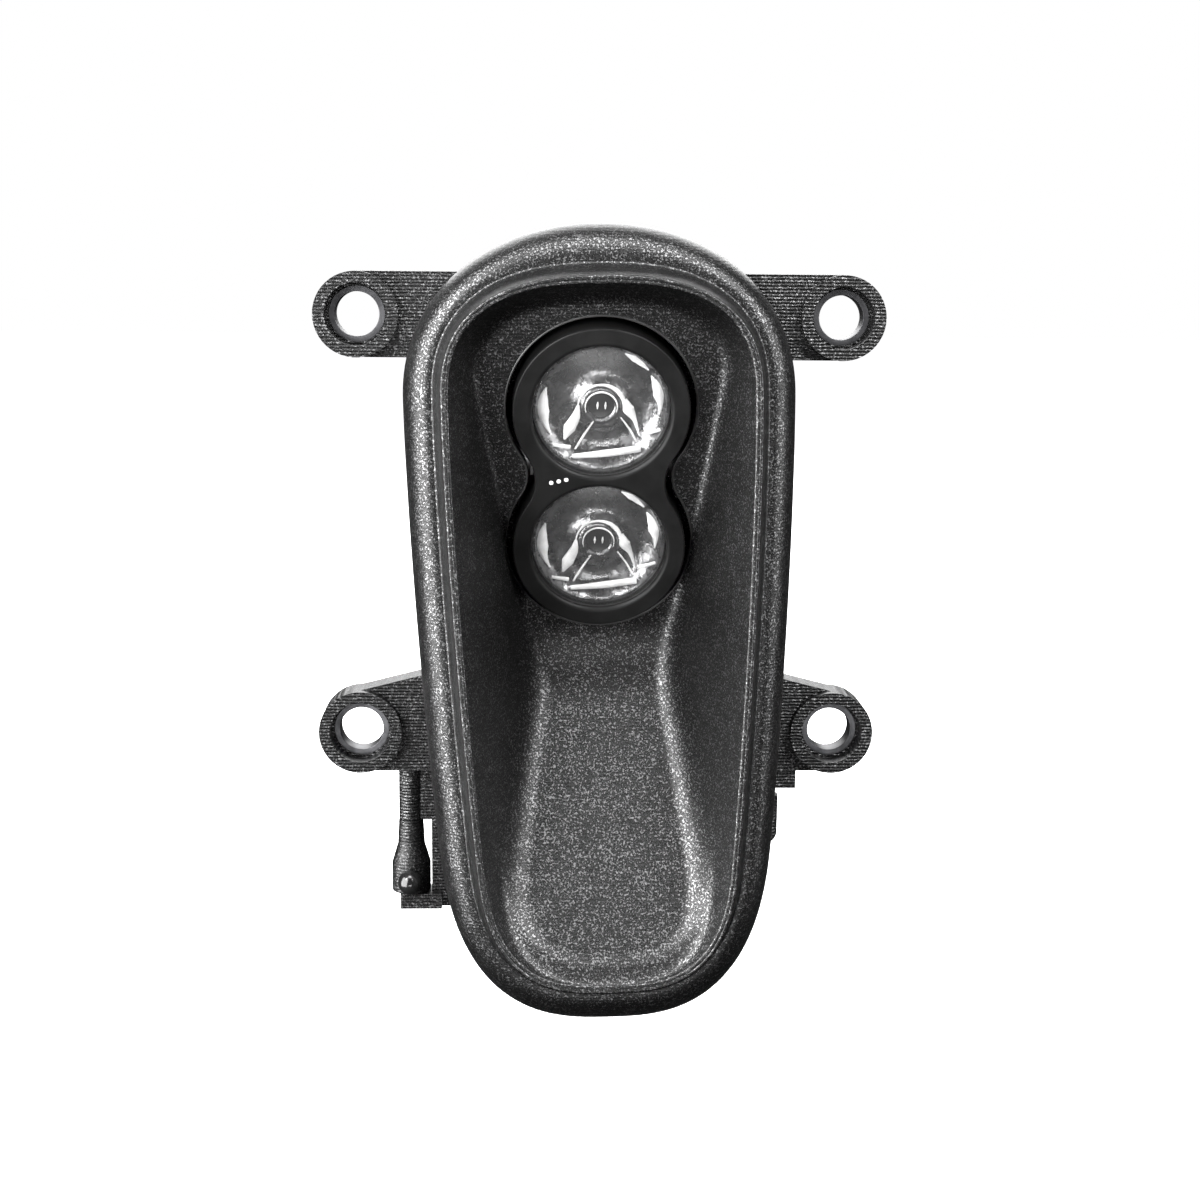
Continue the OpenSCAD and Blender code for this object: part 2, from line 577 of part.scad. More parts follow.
// Cradle
module pivot_part(from, to, r_out, r_in) pod_frame() for (s = [-1, 1])
    translate([s * from, 0, -pivot_depth]) rotate([0, s * 90, 0]) difference() {
        cylinder(r = r_out, h = to - from);
        translate([0, 0, -cut]) cylinder(r = r_in, h = to - from + 2 * cut);
    }
module pivot_washers() color([0.8, 0.8, 0.75])
    pivot_part(shoulder_x, shoulder_x + washer_t, arm_half, trunnion_r);
module pivot_screws() color([0.6, 0.6, 0.62]) pod_frame() for (s = [-1, 1])
    translate([s * trunnion_end, 0, -pivot_depth]) rotate([0, s * 90, 0]) {
        cylinder(r = arm_half - 0.3, h = 1.2);
        translate([0, 0, -2.5]) cylinder(r = pivot_screw_r, h = 2.5 + eps);
    }
module pod_cradle() color([0.6, 0.6, 0.6]) pod_frame() difference() {
    union() {
        slab(base_bottom, base_top) square([2 * (arm_in + arm_t), 2 * base_half], center = true);
        for (s = [-1, 1]) translate([s * arm_in, 0, 0]) rotate([0, s * 90, 0]) linear_extrude(arm_t) {
            translate([s * pivot_depth, 0]) circle(arm_half);
            translate([s > 0 ? pivot_depth : base_bottom, -arm_half])
                square([-base_bottom - pivot_depth, 2 * arm_half]);
        }
    }
    for (s = [-1, 1]) translate([s * (arm_in - cut), 0, -pivot_depth]) rotate([0, s * 90, 0])
        cylinder(r = trunnion_r + run_fit, h = arm_t + 2 * cut);
    slab(base_bottom - cut, base_top + cut) circle(lead_r + lead_room);
    for (s = [-1, 1]) translate([s * foot_screw_x, 0, base_bottom - cut])
        cylinder(r = foot_screw_r + fit, h = base_t + 2 * cut);
}
module cradle_screws() color([0.55, 0.55, 0.58]) pod_frame() for (s = [-1, 1])
    translate([s * foot_screw_x, 0, base_top]) {
        slab(-base_t - 4.5, eps) circle(foot_screw_r);
        slab(0, 0.3) circle(foot_screw_r + 0.7);
    }

// Driver
case_w = 25;
case_low_z = -49;
case_top_z = -19.5;
case_front = 4.5;
case_wall = 1.2;
case_rear = cover_y;
lid_t = 1.2;
board_y = case_rear - 4.4;
board_h = 1.2;
case_screw_x = 8;
case_screw_up = 14;          // height of the case's screws above its lower end
case_screw_r = 0.9;
cable_hole_r = 2.4;
part_z = -40;                // height of the capacitors and the inductor
case_h = case_top_z - case_low_z;
module case_box(inset, from, to) translate([-case_w / 2 + inset, from, case_low_z + inset])
    cube([case_w - 2 * inset, to - from, case_h - 2 * inset]);
lead_y = case_rear - 3.7;
module driver_case() color([0.2, 0.2, 0.21]) difference() {
    case_box(0, case_front + lid_t, case_rear);
    case_box(case_wall, case_front, case_rear - case_wall);
    translate([0, lead_y, case_top_z - case_wall - cut]) cylinder(r = lead_r + fit, h = 4);
    translate([0, board_y - 3.6, case_low_z - cut]) cylinder(r = cable_hole_r, h = 4);
    for (s = [-1, 1]) translate([s * case_screw_x, 0, case_low_z + case_screw_up])
        rod_y(case_screw_r, case_rear - 3, case_rear + cut);
}
module driver_lid() color([0.2, 0.2, 0.21]) case_box(0, case_front, case_front + lid_t - eps);
module driver_screws() color([0.55, 0.55, 0.58]) for (s = [-1, 1])
    translate([s * case_screw_x, 0, case_low_z + case_screw_up]) {
        rod_y(case_screw_r, case_rear - case_wall, case_rear);
        rod_y(case_screw_r + 0.7, board_y + board_h, case_rear - case_wall);
    }
module driver_board() color([0.1, 0.35, 0.2])
    case_box(case_wall + 0.3, board_y, board_y + board_h);
module on_board(x, z, h) translate([x, board_y - h, z]) children();
module driver_capacitors() color([0.15, 0.15, 0.2]) for (x = [-7.5, 0.5])
    translate([x, board_y, part_z]) rod_y(3, -5.8, 0);
module driver_inductor() color([0.25, 0.2, 0.15]) translate([7.8, 0, part_z])
    along_y(board_y - 5, board_y) difference() { circle(3.4); circle(1.4); }
module driver_chips() color([0.08, 0.08, 0.08]) for (x = [-7, 2.5])
    on_board(x, -31, 1.6) cube([5, 1.6, 4]);
module terminal_block() color([0.2, 0.5, 0.3]) on_board(-5, -47, 5.5) difference() {
    cube([10, 5.5, 3.5]);
    for (x = [2, 5, 8]) translate([x, 2.4, -cut]) cylinder(r = 0.9, h = 3);
}
lead_knee = 0.2;             // the lead's sleeve is this much thicker at its bends
lead_back = pod_point(0, -21);
lead_end = pod_point(0, body_back + 0.6);
lead_turn = [0, lead_y, lead_back.z - 4];
module lead_run(a, b) let (d = b - a, l = norm(d))
    translate(a) rotate([-atan2(d.y, d.z), 0, 0]) cylinder(r = lead_r, h = l);
module pod_lead() color([0.06, 0.06, 0.06]) {
    lead_run([0, lead_y, case_top_z - case_wall], lead_turn);
    translate(lead_turn) sphere(lead_r + lead_knee);
    lead_run(lead_turn, lead_back);
    translate(lead_back) sphere(lead_r + lead_knee);
    lead_run(lead_back, lead_end);
}

scoop_housing();
rear_housing();
housing_gasket();
housing_screws();
housing_inserts();
ear_sleeves();
duct_sleeve();
duct_plug();
rear_cover();
cover_gasket();
cover_screws();
vent_plug();
gland_body();
gland_seal();
gland_cap();
gland_nut();
optic_bezel();
upper_lens();
lower_lens();
lens_seals();
lens_holders();
wait_led();
walk_led();
led_board();
thermal_pad();
pod_seal();
pod_body();
pod_screws();
pod_grommet();
pivot_washers();
pivot_screws();
pod_cradle();
cradle_screws();
driver_case();
driver_lid();
driver_screws();
driver_board();
driver_capacitors();
driver_inductor();
driver_chips();
terminal_block();
pod_lead();
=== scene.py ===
"""Looks of the pedestrian signal lamp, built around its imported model.

Every length is in millimetres until a mesh is finished, when it is scaled to metres.
"""

import json
import logging
import math
from dataclasses import dataclass, field
from enum import Enum
from typing import Callable, Iterable, Optional, Union

import bmesh
import bpy
from mathutils import Matrix, Vector


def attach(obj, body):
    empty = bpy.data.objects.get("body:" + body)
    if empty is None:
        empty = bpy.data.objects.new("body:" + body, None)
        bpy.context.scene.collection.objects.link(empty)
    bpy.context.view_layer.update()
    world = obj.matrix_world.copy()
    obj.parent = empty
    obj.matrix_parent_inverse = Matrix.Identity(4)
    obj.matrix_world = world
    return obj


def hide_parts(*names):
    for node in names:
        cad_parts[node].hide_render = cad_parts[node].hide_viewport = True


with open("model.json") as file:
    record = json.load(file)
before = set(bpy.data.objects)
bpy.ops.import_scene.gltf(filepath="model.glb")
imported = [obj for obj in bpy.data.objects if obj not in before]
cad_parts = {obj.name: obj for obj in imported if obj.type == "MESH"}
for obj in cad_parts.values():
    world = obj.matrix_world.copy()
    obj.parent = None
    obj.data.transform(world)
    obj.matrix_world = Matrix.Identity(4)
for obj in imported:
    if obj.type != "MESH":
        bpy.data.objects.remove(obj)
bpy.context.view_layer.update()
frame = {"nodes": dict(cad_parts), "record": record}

MM = 0.001
OPTIC_PITCH = 21.8  # between the two optics
WAVE_TURN = math.pi / 10  # a wave node's scale for one line in each unit
MIX_LOW, MIX_HIGH, MIX_RESULT = 6, 7, 2  # a mix node's colour sockets
MERGE_M = 1e-6  # points this near are one, on a mesh in metres
FLAT_TURN = 1.0  # edges that turn less than this are dissolved, in degrees
SHARP_TURN = 33.0  # edges of a CAD node that turn more than this are rounded, in degrees
log = logging.getLogger("lamp")


class Body(Enum):
    """The two rigid bodies of the lamp."""

    HOUSING = "housing"
    POD = "lamp_pod"


# ---------------------------------------------------------------------------------------------
# Shader maths


class Value:
    """A number that flows through a shader, with Python's operators as Math nodes."""

    def __init__(self, graph: "Graph", socket: bpy.types.NodeSocket) -> None:
        """Wraps one output socket of a graph."""
        self.graph = graph
        self.socket = socket

    def math(self, operation: str, *others: Union["Value", float]) -> "Value":
        """Runs one Math node on this value.

        Args:
            operation: the Math node's operation.
            others: its further inputs, values or numbers.

        Returns:
            The node's result.
        """
        values = {i: v for i, v in enumerate((self, *others))}
        return self.graph.value("ShaderNodeMath", {"operation": operation}, values)

    def __add__(self, other: Union["Value", float]) -> "Value":
        """Adds."""
        return self.math("ADD", other)

    __radd__ = __add__

    def __mul__(self, other: Union["Value", float]) -> "Value":
        """Multiplies."""
        return self.math("MULTIPLY", other)

    __rmul__ = __mul__

    def ramp(self, low: float, high: float) -> "Value":
        """Spreads the span from low to high over 0 to 1, with soft ends.

        Args:
            low: the value that becomes 0.
            high: the value that becomes 1.

        Returns:
            The spread value.
        """
        return self.graph.value("ShaderNodeMapRange", {"interpolation_type": "SMOOTHSTEP"},
                                {"Value": self, "From Min": low, "From Max": high})


Input = Union[Value, float, tuple]


class Graph:
    """A material's node tree around one Principled shader."""

    def __init__(self, name: str, constants: dict[str, Input]) -> None:
        """Makes the material.

        Args:
            name: the material's name.
            constants: values set on the shader's own sockets.
        """
        self.material = bpy.data.materials.new(name)
        self.material.use_nodes = True
        self.tree = self.material.node_tree
        self.shader = next(n for n in self.tree.nodes if n.type == "BSDF_PRINCIPLED")
        for socket, constant in constants.items():
            self.shader.inputs[socket].default_value = constant

    def node(self, kind: str, settings: dict[str, object], values: dict[Union[str, int], Input],
             ) -> bpy.types.Node:
        """Adds a node.

        Args:
            kind: the node's type.
            settings: its properties, set first.
            values: numbers or links for its input sockets, by name or place.

        Returns:
            The node.
        """
        node = self.tree.nodes.new(kind)
        for key, setting in settings.items():
            setattr(node, key, setting)
        for key, value in values.items():
            if isinstance(value, Value):
                self.tree.links.new(value.socket, node.inputs[key])
            else:
                node.inputs[key].default_value = value
        return node

    def value(self, kind: str, settings: dict[str, object], values: dict[Union[str, int], Input],
              output: Union[str, int] = 0) -> Value:
        """Adds a node and wraps one of its outputs."""
        return Value(self, self.node(kind, settings, values).outputs[output])

    def place(self, stretch: tuple = (1.0, 1.0, 1.0)) -> Value:
        """The surface's place on its object, in metres, stretched along each axis."""
        spot = self.value("ShaderNodeTexCoord", {}, {}, "Object")
        return self.value("ShaderNodeVectorMath", {"operation": "MULTIPLY"}, {0: spot, 1: stretch})

    def noise(self, place: Value, size: float, detail: float = 2.0, rough: float = 0.6) -> Value:
        """Cloudy noise whose blotches are about one size, in millimetres."""
        return self.value("ShaderNodeTexNoise", {},
                          {"Vector": place, "Scale": 1 / (size * MM), "Detail": detail, "Roughness": rough})

    def lines(self, place: Value, axis: str, pitch: float, waver: float) -> Value:
        """Parallel lines across one axis, as a 3-D printer leaves.

        Args:
            place: the coordinates.
            axis: X, Y or Z.
            pitch: distance between lines, in millimetres.
            waver: how much the lines waver.

        Returns:
            A wave from 0 to 1.
        """
        return self.value("ShaderNodeTexWave",
                          {"wave_type": "BANDS", "bands_direction": axis, "wave_profile": "SIN"},
                          {"Vector": place, "Scale": WAVE_TURN / (pitch * MM), "Distortion": waver,
                           "Detail": 2.0, "Detail Scale": 1.5}, "Fac")

    def blend(self, factor: Value, low: tuple, high: tuple) -> Value:
        """Blends two colours."""
        return self.value("ShaderNodeMix", {"data_type": "RGBA"}, {0: factor, MIX_LOW: low, MIX_HIGH: high},
                          MIX_RESULT)

    def feed(self, socket: str, value: Value) -> None:
        """Links a value to one of the shader's sockets."""
        self.tree.links.new(value.socket, self.shader.inputs[socket])

    def bump(self, height: Value, depth: float) -> None:
        """Raises the surface by a height.

        Args:
            height: the height, from 0 to 1.
            depth: what 1 stands for, in millimetres.
        """
        raised = {"Height": height, "Distance": depth * MM, "Strength": 1.0}
        self.feed("Normal", self.value("ShaderNodeBump", {}, raised, "Normal"))


def grey(tone: float) -> tuple:
    """An opaque grey."""
    return (tone, tone, tone * 1.01, 1.0)


# ---------------------------------------------------------------------------------------------
# Finishes


@dataclass(frozen=True)
class PrintedNylon:
    """Black powder-printed nylon: salt-and-pepper grain, with layer lines where they show."""

    name: str
    dark: float = 0.002
    light: float = 0.17
    grain: float = 0.3
    depth: float = 0.05
    gloss: float = 0.34
    specks: tuple = (0.56, 0.7)
    shine: tuple = (0.5, 0.565)
    line_pitch: float = 0.5
    line_depth: float = 0.0
    line_waver: float = 1.2

    def material(self) -> bpy.types.Material:
        """Builds the material.

        Returns:
            The material.
        """
        g = Graph(self.name, {"Specular IOR Level": 0.4})
        spot = g.place()
        fine = g.noise(spot, self.grain, 3.0, 0.72)
        coarse = g.noise(spot, self.grain * 9, 2.0)
        mix = fine + 0.12 * coarse
        g.feed("Base Color", g.blend(mix.ramp(*self.specks), grey(self.dark), grey(self.light)))
        g.feed("Metallic", mix.ramp(*self.shine))
        g.feed("Roughness", self.gloss + fine * 0.1)
        height = fine * self.depth
        if self.line_depth:
            height = height + g.lines(spot, "Z", self.line_pitch, self.line_waver) * self.line_depth
        g.bump(height, 1.0)
        return g.material


@dataclass(frozen=True)
class SatinPlastic:
    """Moulded plastic with a fine satin texture and slightly worn tone."""

    name: str
    tone: float = 0.02
    gloss: float = 0.4
    texture: float = 0.12
    depth: float = 0.012
    tint: tuple = (1.0, 1.0, 1.0)
    specular: float = 0.45
    cloud: float = 6.0

    def colour(self, lift: float) -> tuple:
        """The tone, lifted, in the plastic's tint."""
        return (*(self.tone * lift * t for t in self.tint), 1.0)

    def material(self) -> bpy.types.Material:
        """Builds the material.

        Returns:
            The material.
        """
        g = Graph(self.name, {"Specular IOR Level": self.specular})
        spot = g.place()
        fine = g.noise(spot, self.texture, 2.0)
        cloud = g.noise(spot, self.cloud, 3.0)
        g.feed("Base Color", g.blend(cloud.ramp(0.3, 0.7), self.colour(0.75), self.colour(1.25)))
        g.feed("Roughness", self.gloss + cloud * 0.12)
        g.bump(fine, self.depth)
        return g.material


@dataclass(frozen=True)
class TurnedMetal:
    """Metal with fine tool marks and faint staining."""

    name: str
    colour: tuple = (0.5, 0.5, 0.52)
    gloss: float = 0.3
    mark: float = 0.08
    depth: float = 0.004
    grain: tuple = (1.0, 0.12, 1.0)
    stain: float = 2.4

    def material(self) -> bpy.types.Material:
        """Builds the material.

        Returns:
            The material.
        """
        g = Graph(self.name, {"Metallic": 1.0})
        marks = g.noise(g.place(self.grain), self.mark, 3.0)
        stain = g.noise(g.place(), self.stain, 3.0)
        dull = tuple(0.6 * c for c in self.colour)
        g.feed("Base Color", g.blend(stain.ramp(0.35, 0.7), (*self.colour, 1.0), (*dull, 1.0)))
        g.feed("Roughness", self.gloss + stain * 0.2)
        g.bump(marks, self.depth)
        return g.material


@dataclass(frozen=True)
class SoftRubber:
    """Moulded rubber, matt or glossy."""

    name: str
    tone: float = 0.012
    gloss: float = 0.7
    bloom: float = 1.8
    texture: float = 0.25
    depth: float = 0.006

    def material(self) -> bpy.types.Material:
        """Builds the material.

        Returns:
            The material.
        """
        g = Graph(self.name, {"Specular IOR Level": 0.5})
        spot = g.place()
        bloom = g.noise(spot, self.bloom, 3.0)
        g.feed("Base Color", g.blend(bloom.ramp(0.35, 0.75), grey(self.tone), grey(self.tone * 1.8)))
        g.feed("Roughness", self.gloss + bloom * 0.1)
        g.bump(g.noise(spot, self.texture), self.depth)
        return g.material


@dataclass(frozen=True)
class ClearOptic:
    """Clear polished acrylic, seen through."""

    name: str
    alpha: float = 0.14
    dark: float = 0.06
    light: float = 0.14
    gloss: float = 0.16
    haze: float = 2.2

    def material(self) -> bpy.types.Material:
        """Builds the material.

        Returns:
            The material.
        """
        g = Graph(self.name, {"Specular IOR Level": 1.0, "IOR": 1.49, "Alpha": self.alpha})
        haze = g.noise(g.place(), self.haze, 2.0)
        g.feed("Base Color", g.blend(haze, grey(self.dark), grey(self.light)))
        g.feed("Roughness", self.gloss + haze * 0.08)
        return g.material


@dataclass(frozen=True)
class MirrorCone:
    """The optic's total-reflection wall: a slightly rippled mirror."""

    name: str
    tone: float
    gloss: float = 0.2
    ripple: float = 1.5
    depth: float = 0.16

    def material(self) -> bpy.types.Material:
        """Builds the material.

        Returns:
            The material.
        """
        g = Graph(self.name, {"Metallic": 1.0})
        ripple = g.noise(g.place(), self.ripple, 2.0)
        g.feed("Base Color", g.blend(ripple.ramp(0.3, 0.7), grey(self.tone * 0.55), grey(self.tone)))
        g.feed("Roughness", self.gloss + ripple * 0.16)
        g.bump(ripple, self.depth)
        return g.material


@dataclass(frozen=True)
class Finishes:
    """Every finish of the lamp, by the record's material slot."""

    def table(self) -> dict[str, bpy.types.Material]:
        """Builds one material for each slot.

        Returns:
            Slot name to material.
        """
        built = {
            "housing_nylon": PrintedNylon("printed_housing"),
            "scoop_nylon": PrintedNylon("printed_scoop", line_depth=0.012),
            "rear_nylon": PrintedNylon("printed_rear", light=0.16, line_depth=0.08),
            "optic_bowl": MirrorCone("optic_bowl", 0.3),
            "optic_glint": SatinPlastic("optic_glint", 0.85, 0.12, 0.3, 0.004),
            # painted highlight: a lighter, glossier satin than the nylon, for the bright line of light along
            # the opening's edge
            "edge_sheen": SatinPlastic("edge_sheen", 0.03, 0.3),
            "optic_well": SatinPlastic("optic_well", 0.004, 0.25),
            "tally_paint": SatinPlastic("tally_paint", 0.7, 0.5),
            "duct_nylon": PrintedNylon("printed_duct", light=0.12, line_depth=0.05),
            "seal_rubber": SoftRubber("seal_rubber"),
            "plug_rubber": SoftRubber("plug_rubber", 0.006, 0.12),
            "screw_steel": TurnedMetal("blackened_screw", (0.25, 0.25, 0.26), 0.34),
            "insert_brass": TurnedMetal("brass_insert", (0.75, 0.56, 0.26), 0.3),
            "sleeve_steel": TurnedMetal("blackened_sleeve", (0.10, 0.10, 0.105), 0.36),
            "vent_plastic": SatinPlastic("vent_plastic", 0.04),
            "gland_plastic": SatinPlastic("gland_plastic", 0.018),
            "bezel_black": SatinPlastic("bezel_black", 0.006, 0.34, specular=0.14),
            "optic_clear": ClearOptic("optic_clear"),
            "holder_white": SatinPlastic("holder_white", 0.8, 0.16, 0.3, 0.004),
            "wait_led": SatinPlastic("wait_emitter", 0.35, 0.2, tint=(1.0, 0.25, 0.16)),
            "walk_led": SatinPlastic("walk_emitter", 0.35, 0.2, tint=(0.35, 1.0, 0.6)),
            "led_board": SatinPlastic("board_mask", 0.6, 0.3),
            "thermal_pad": SoftRubber("thermal_pad", 0.35, 0.7),
            "pod_aluminium": TurnedMetal("cast_pod", (0.42, 0.42, 0.44), 0.42, 0.3, 0.02),
            "washer_plastic": SatinPlastic("washer_plastic", 0.6, 0.4),
            "cradle_steel": TurnedMetal("cradle_steel", (0.5, 0.5, 0.5), 0.3),
            "driver_plastic": SatinPlastic("driver_plastic", 0.03),
            "circuit_board": SatinPlastic("circuit_board", 0.12, 0.3, tint=(0.2, 1.0, 0.5)),
            "capacitor": SatinPlastic("capacitor_sleeve", 0.08, 0.3, tint=(0.7, 0.7, 1.2)),
            "inductor": SatinPlastic("ferrite", 0.06, 0.6, 0.3, 0.03),
            "chip_black": SatinPlastic("chip_black", 0.02, 0.5),
            "terminal_green": SatinPlastic("terminal_green", 0.16, 0.35, tint=(0.25, 1.0, 0.45)),
            "lead_jacket": SoftRubber("lead_jacket", 0.015, 0.5),
        }
        return {slot: finish.material() for slot, finish in built.items()}


# ---------------------------------------------------------------------------------------------
# Mesh helpers


def placed(name: str, data: bpy.types.ID) -> bpy.types.Object:
    """Makes an object of its data and puts it in the scene.

    Args:
        name: the object's name.
        data: its mesh, light or camera.

    Returns:
        The object.
    """
    made = bpy.data.objects.new(name, data)
    bpy.context.scene.collection.objects.link(made)
    return made


def written(name: str, mesh: bmesh.types.BMesh) -> bpy.types.Mesh:
    """Writes a bmesh to a new mesh and frees it.

    Args:
        name: the mesh's name.
        mesh: the shape, used up by the call.

    Returns:
        The mesh.
    """
    data = bpy.data.meshes.new(name)
    mesh.to_mesh(data)
    mesh.free()
    return data


def direction(azimuth: float, elevation: float) -> Vector:
    """The way out from the lamp at an azimuth and elevation in degrees; 0, 0 is its front."""
    a, e = math.radians(azimuth), math.radians(elevation)
    return Vector((math.sin(a) * math.cos(e), -math.cos(a) * math.cos(e), math.sin(e)))


@dataclass
class Workshop:
    """Turns bmeshes into finished pieces and remembers the finishes."""

    finishes: dict[str, bpy.types.Material]
    node_slots: dict[str, str] = field(default_factory=dict)

    def dress(self, piece: bpy.types.Object, finish: str) -> None:
        """Gives a piece a finish, by its slot's name or its own."""
        piece.data.materials.clear()
        piece.data.materials.append(self.finishes[finish])

    def piece(self, name: str, mesh: bmesh.types.BMesh, slot: str, body: Body,
              stands_for: Iterable[str] = (), smooth_angle: float = 35.0) -> bpy.types.Object:
        """Makes a finished object of a bmesh that is in millimetres.

        Args:
            name: the piece's name.
            mesh: its shape, used up by the call.
            slot: the record's material slot.
            body: what it moves with.
            stands_for: CAD nodes that it replaces.
            smooth_angle: edges that turn more than this stay sharp, in degrees.

        Returns:
            The object.
        """
        bmesh.ops.scale(mesh, vec=(MM, MM, MM), verts=mesh.verts)
        self.shade(mesh, smooth_angle)
        made = placed(name, written(name, mesh))
        self.finish(made, slot, body, stands_for)
        return made

    def finish(self, made: bpy.types.Object, slot: str, body: Body, stands_for: Iterable[str]) -> None:
        """Dresses a piece, lets it ride on its body and hides what it stands for.

        Args:
            made: the piece.
            slot: the record's material slot.
            body: what it moves with.
            stands_for: CAD nodes that it replaces.
        """
        self.dress(made, slot)
        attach(made, body.value)
        if stands_for:
            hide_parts(*stands_for)
        log.info("%s: %d faces on %s", made.name, len(made.data.polygons), body.value)

    @staticmethod
    def shade(mesh: bmesh.types.BMesh, smooth_angle: float) -> None:
        """Shades faces smooth and marks the edges that turn sharply.

        Args:
            mesh: the shape.
            smooth_angle: edges that turn more than this stay sharp, in degrees.
        """
        limit = math.radians(smooth_angle)
        for face in mesh.faces:
            face.smooth = True
        for edge in mesh.edges:
            edge.smooth = len(edge.link_faces) == 2 and edge.calc_face_angle(0.0) < limit

    def softened(self, node: str, name: str, body: Body, width: float, segments: int = 2,
                 ) -> bpy.types.Object:
        """A copy of a CAD node with its hard edges rounded.

        Args:
            node: the CAD node.
            name: the new piece's name.
            body: what it moves with.
            width: the rounding's width, in millimetres.
            segments: steps in the rounding.

        Returns:
            The object.
        """
        mesh = bmesh.new()
        mesh.from_mesh(frame["nodes"][node].data)
        bmesh.ops.remove_doubles(mesh, verts=mesh.verts, dist=MERGE_M)
        bmesh.ops.dissolve_limit(mesh, angle_limit=math.radians(FLAT_TURN), verts=mesh.verts,
                                 edges=mesh.edges)
        self.shade(mesh, SHARP_TURN)
        made = placed(name, written(name, mesh))
        rounding = made.modifiers.new("rounded_edges", "BEVEL")
        rounding.width = width * MM
        rounding.segments = segments
        rounding.limit_method = "ANGLE"
        rounding.angle_limit = math.radians(SHARP_TURN)
        rounding.harden_normals = True
        rounding.use_clamp_overlap = True
        self.finish(made, self.node_slots[node], body, (node,))
        return made


def turned(profile: list[tuple[float, float]], steps: int) -> bmesh.types.BMesh:
    """Spins a profile round the Z axis.

    Args:
        profile: points as (radius, height); a radius of 0 closes the shape on the axis.
        steps: steps in the turn.

    Returns:
        The closed shape, with its faces outward.
    """
    mesh = bmesh.new()
    verts = [mesh.verts.new((r, 0.0, z)) for r, z in profile]
    edges = [mesh.edges.new(pair) for pair in zip(verts, verts[1:])]
    bmesh.ops.spin(mesh, geom=verts + edges, cent=(0, 0, 0), axis=(0, 0, 1), angle=2 * math.pi,
                   steps=steps, use_merge=True)
    bmesh.ops.remove_doubles(mesh, verts=mesh.verts, dist=1e-4)
    bmesh.ops.recalc_face_normals(mesh, faces=mesh.faces)
    return mesh


def swept(path: list[Vector], radius: Callable[[float], float], sides: int) -> bmesh.types.BMesh:
    """A closed tube along a path.

    Args:
        path: the middle line's points.
        radius: the tube's radius at a share of the path's length.
        sides: corners of its section.

    Returns:
        The tube.
    """
    mesh = bmesh.new()
    loops = []
    for i, point in enumerate(path):
        ahead = path[min(i + 1, len(path) - 1)] - path[max(i - 1, 0)]
        turn = ahead.to_track_quat("Z", "Y").to_matrix().to_4x4()
        ring = bmesh.ops.create_circle(mesh, cap_ends=i in (0, len(path) - 1), segments=sides,
                                       radius=radius(i / (len(path) - 1)),
                                       matrix=Matrix.Translation(point) @ turn)
        loops.append({e for v in ring["verts"] for e in v.link_edges})
    for low, high in zip(loops, loops[1:]):
        bmesh.ops.bridge_loops(mesh, edges=list(low | high))
    bmesh.ops.recalc_face_normals(mesh, faces=mesh.faces)
    return mesh


# ---------------------------------------------------------------------------------------------
# Scoop


@dataclass
class ScoopOutline:
    """The family of egg-shaped curves that the lip, flange and scoop all follow."""

    half_w: float = 22.2
    half_w_low: float = 18.9
    top_z: float = 20.0
    top_rise: float = 17.0
    low_z: float = -46.0
    low_drop: float = 20.7
    lean: float = 1.3
    shift: float = 0.3
    side_bow: float = 1.6
    square_top: float = 2.6
    square_low: float = 3.0
    square_loss: float = 0.075
    square_loss_low: float = 0.035
    square_limit: float = 3.4
    swell_top: float = 1.21
    swell_low: float = 1.34
    arc_share: float = 0.3

    def half_width(self, z: float) -> float:
        """Half width of the lip's middle line at a height."""
        t = max(0.0, (self.top_z - z) / (self.top_z - self.low_z))
        return self.half_w - (self.half_w - self.half_w_low) * t ** self.side_bow

    def squareness(self, base: float, loss: float, grow: float) -> float:
        """How square an end is on the curve that lies outside the lip by grow."""
        return min(self.square_limit, base - loss * grow)

    def half_point(self, u: float, grow: float) -> tuple[float, float]:
        """A point on the right half of a curve.

        Args:
            u: share of the way from the top to the bottom.
            grow: the curve's distance outside the lip's middle line.

        Returns:
            The point's x and z, before the lean.
        """
        if u < self.arc_share:
            square = self.squareness(self.square_top, self.square_loss, grow)
            a = math.pi / 2 * (1 - u / self.arc_share)
            rise = self.top_rise + (grow * self.swell_top if grow > 0 else grow)
            return ((self.half_w + grow) * max(0.0, math.cos(a)) ** (2 / square),
                    self.top_z + rise * math.sin(a) ** (2 / square))
        if u > 1 - self.arc_share:
            square = self.squareness(self.square_low, self.square_loss_low, grow)
            a = math.pi / 2 * (1 - (1 - u) / self.arc_share)
            drop = self.low_drop + (grow * self.swell_low if grow > 0 else grow)
            z = self.low_z - drop * max(0.0, math.sin(a)) ** (2 / square)
            return (self.half_width(z) + grow) * max(0.0, math.cos(a)) ** (2 / square), z
        z = self.top_z + (self.low_z - self.top_z) * (u - self.arc_share) / (1 - 2 * self.arc_share)
        return self.half_width(z) + grow, z

    def local(self, share: float, grow: float) -> tuple[float, float]:
        """A point on the whole curve, by its share of the way round from the top.

        Args:
            share: share of the way round, from 0 to 1.
            grow: the curve's distance outside the lip's middle line.

        Returns:
            The point's x and z, before the lean.
        """
        if share <= 0.5:
            return self.half_point(2 * share, grow)
        x, z = self.half_point(2 * (1 - share), grow)
        return -x, z

    def leaned(self, x: float, z: float) -> tuple[float, float]:
        """Leans and shifts a point with the scoop."""
        a = math.radians(self.lean)
        return self.shift + x * math.cos(a) - z * math.sin(a), x * math.sin(a) + z * math.cos(a)


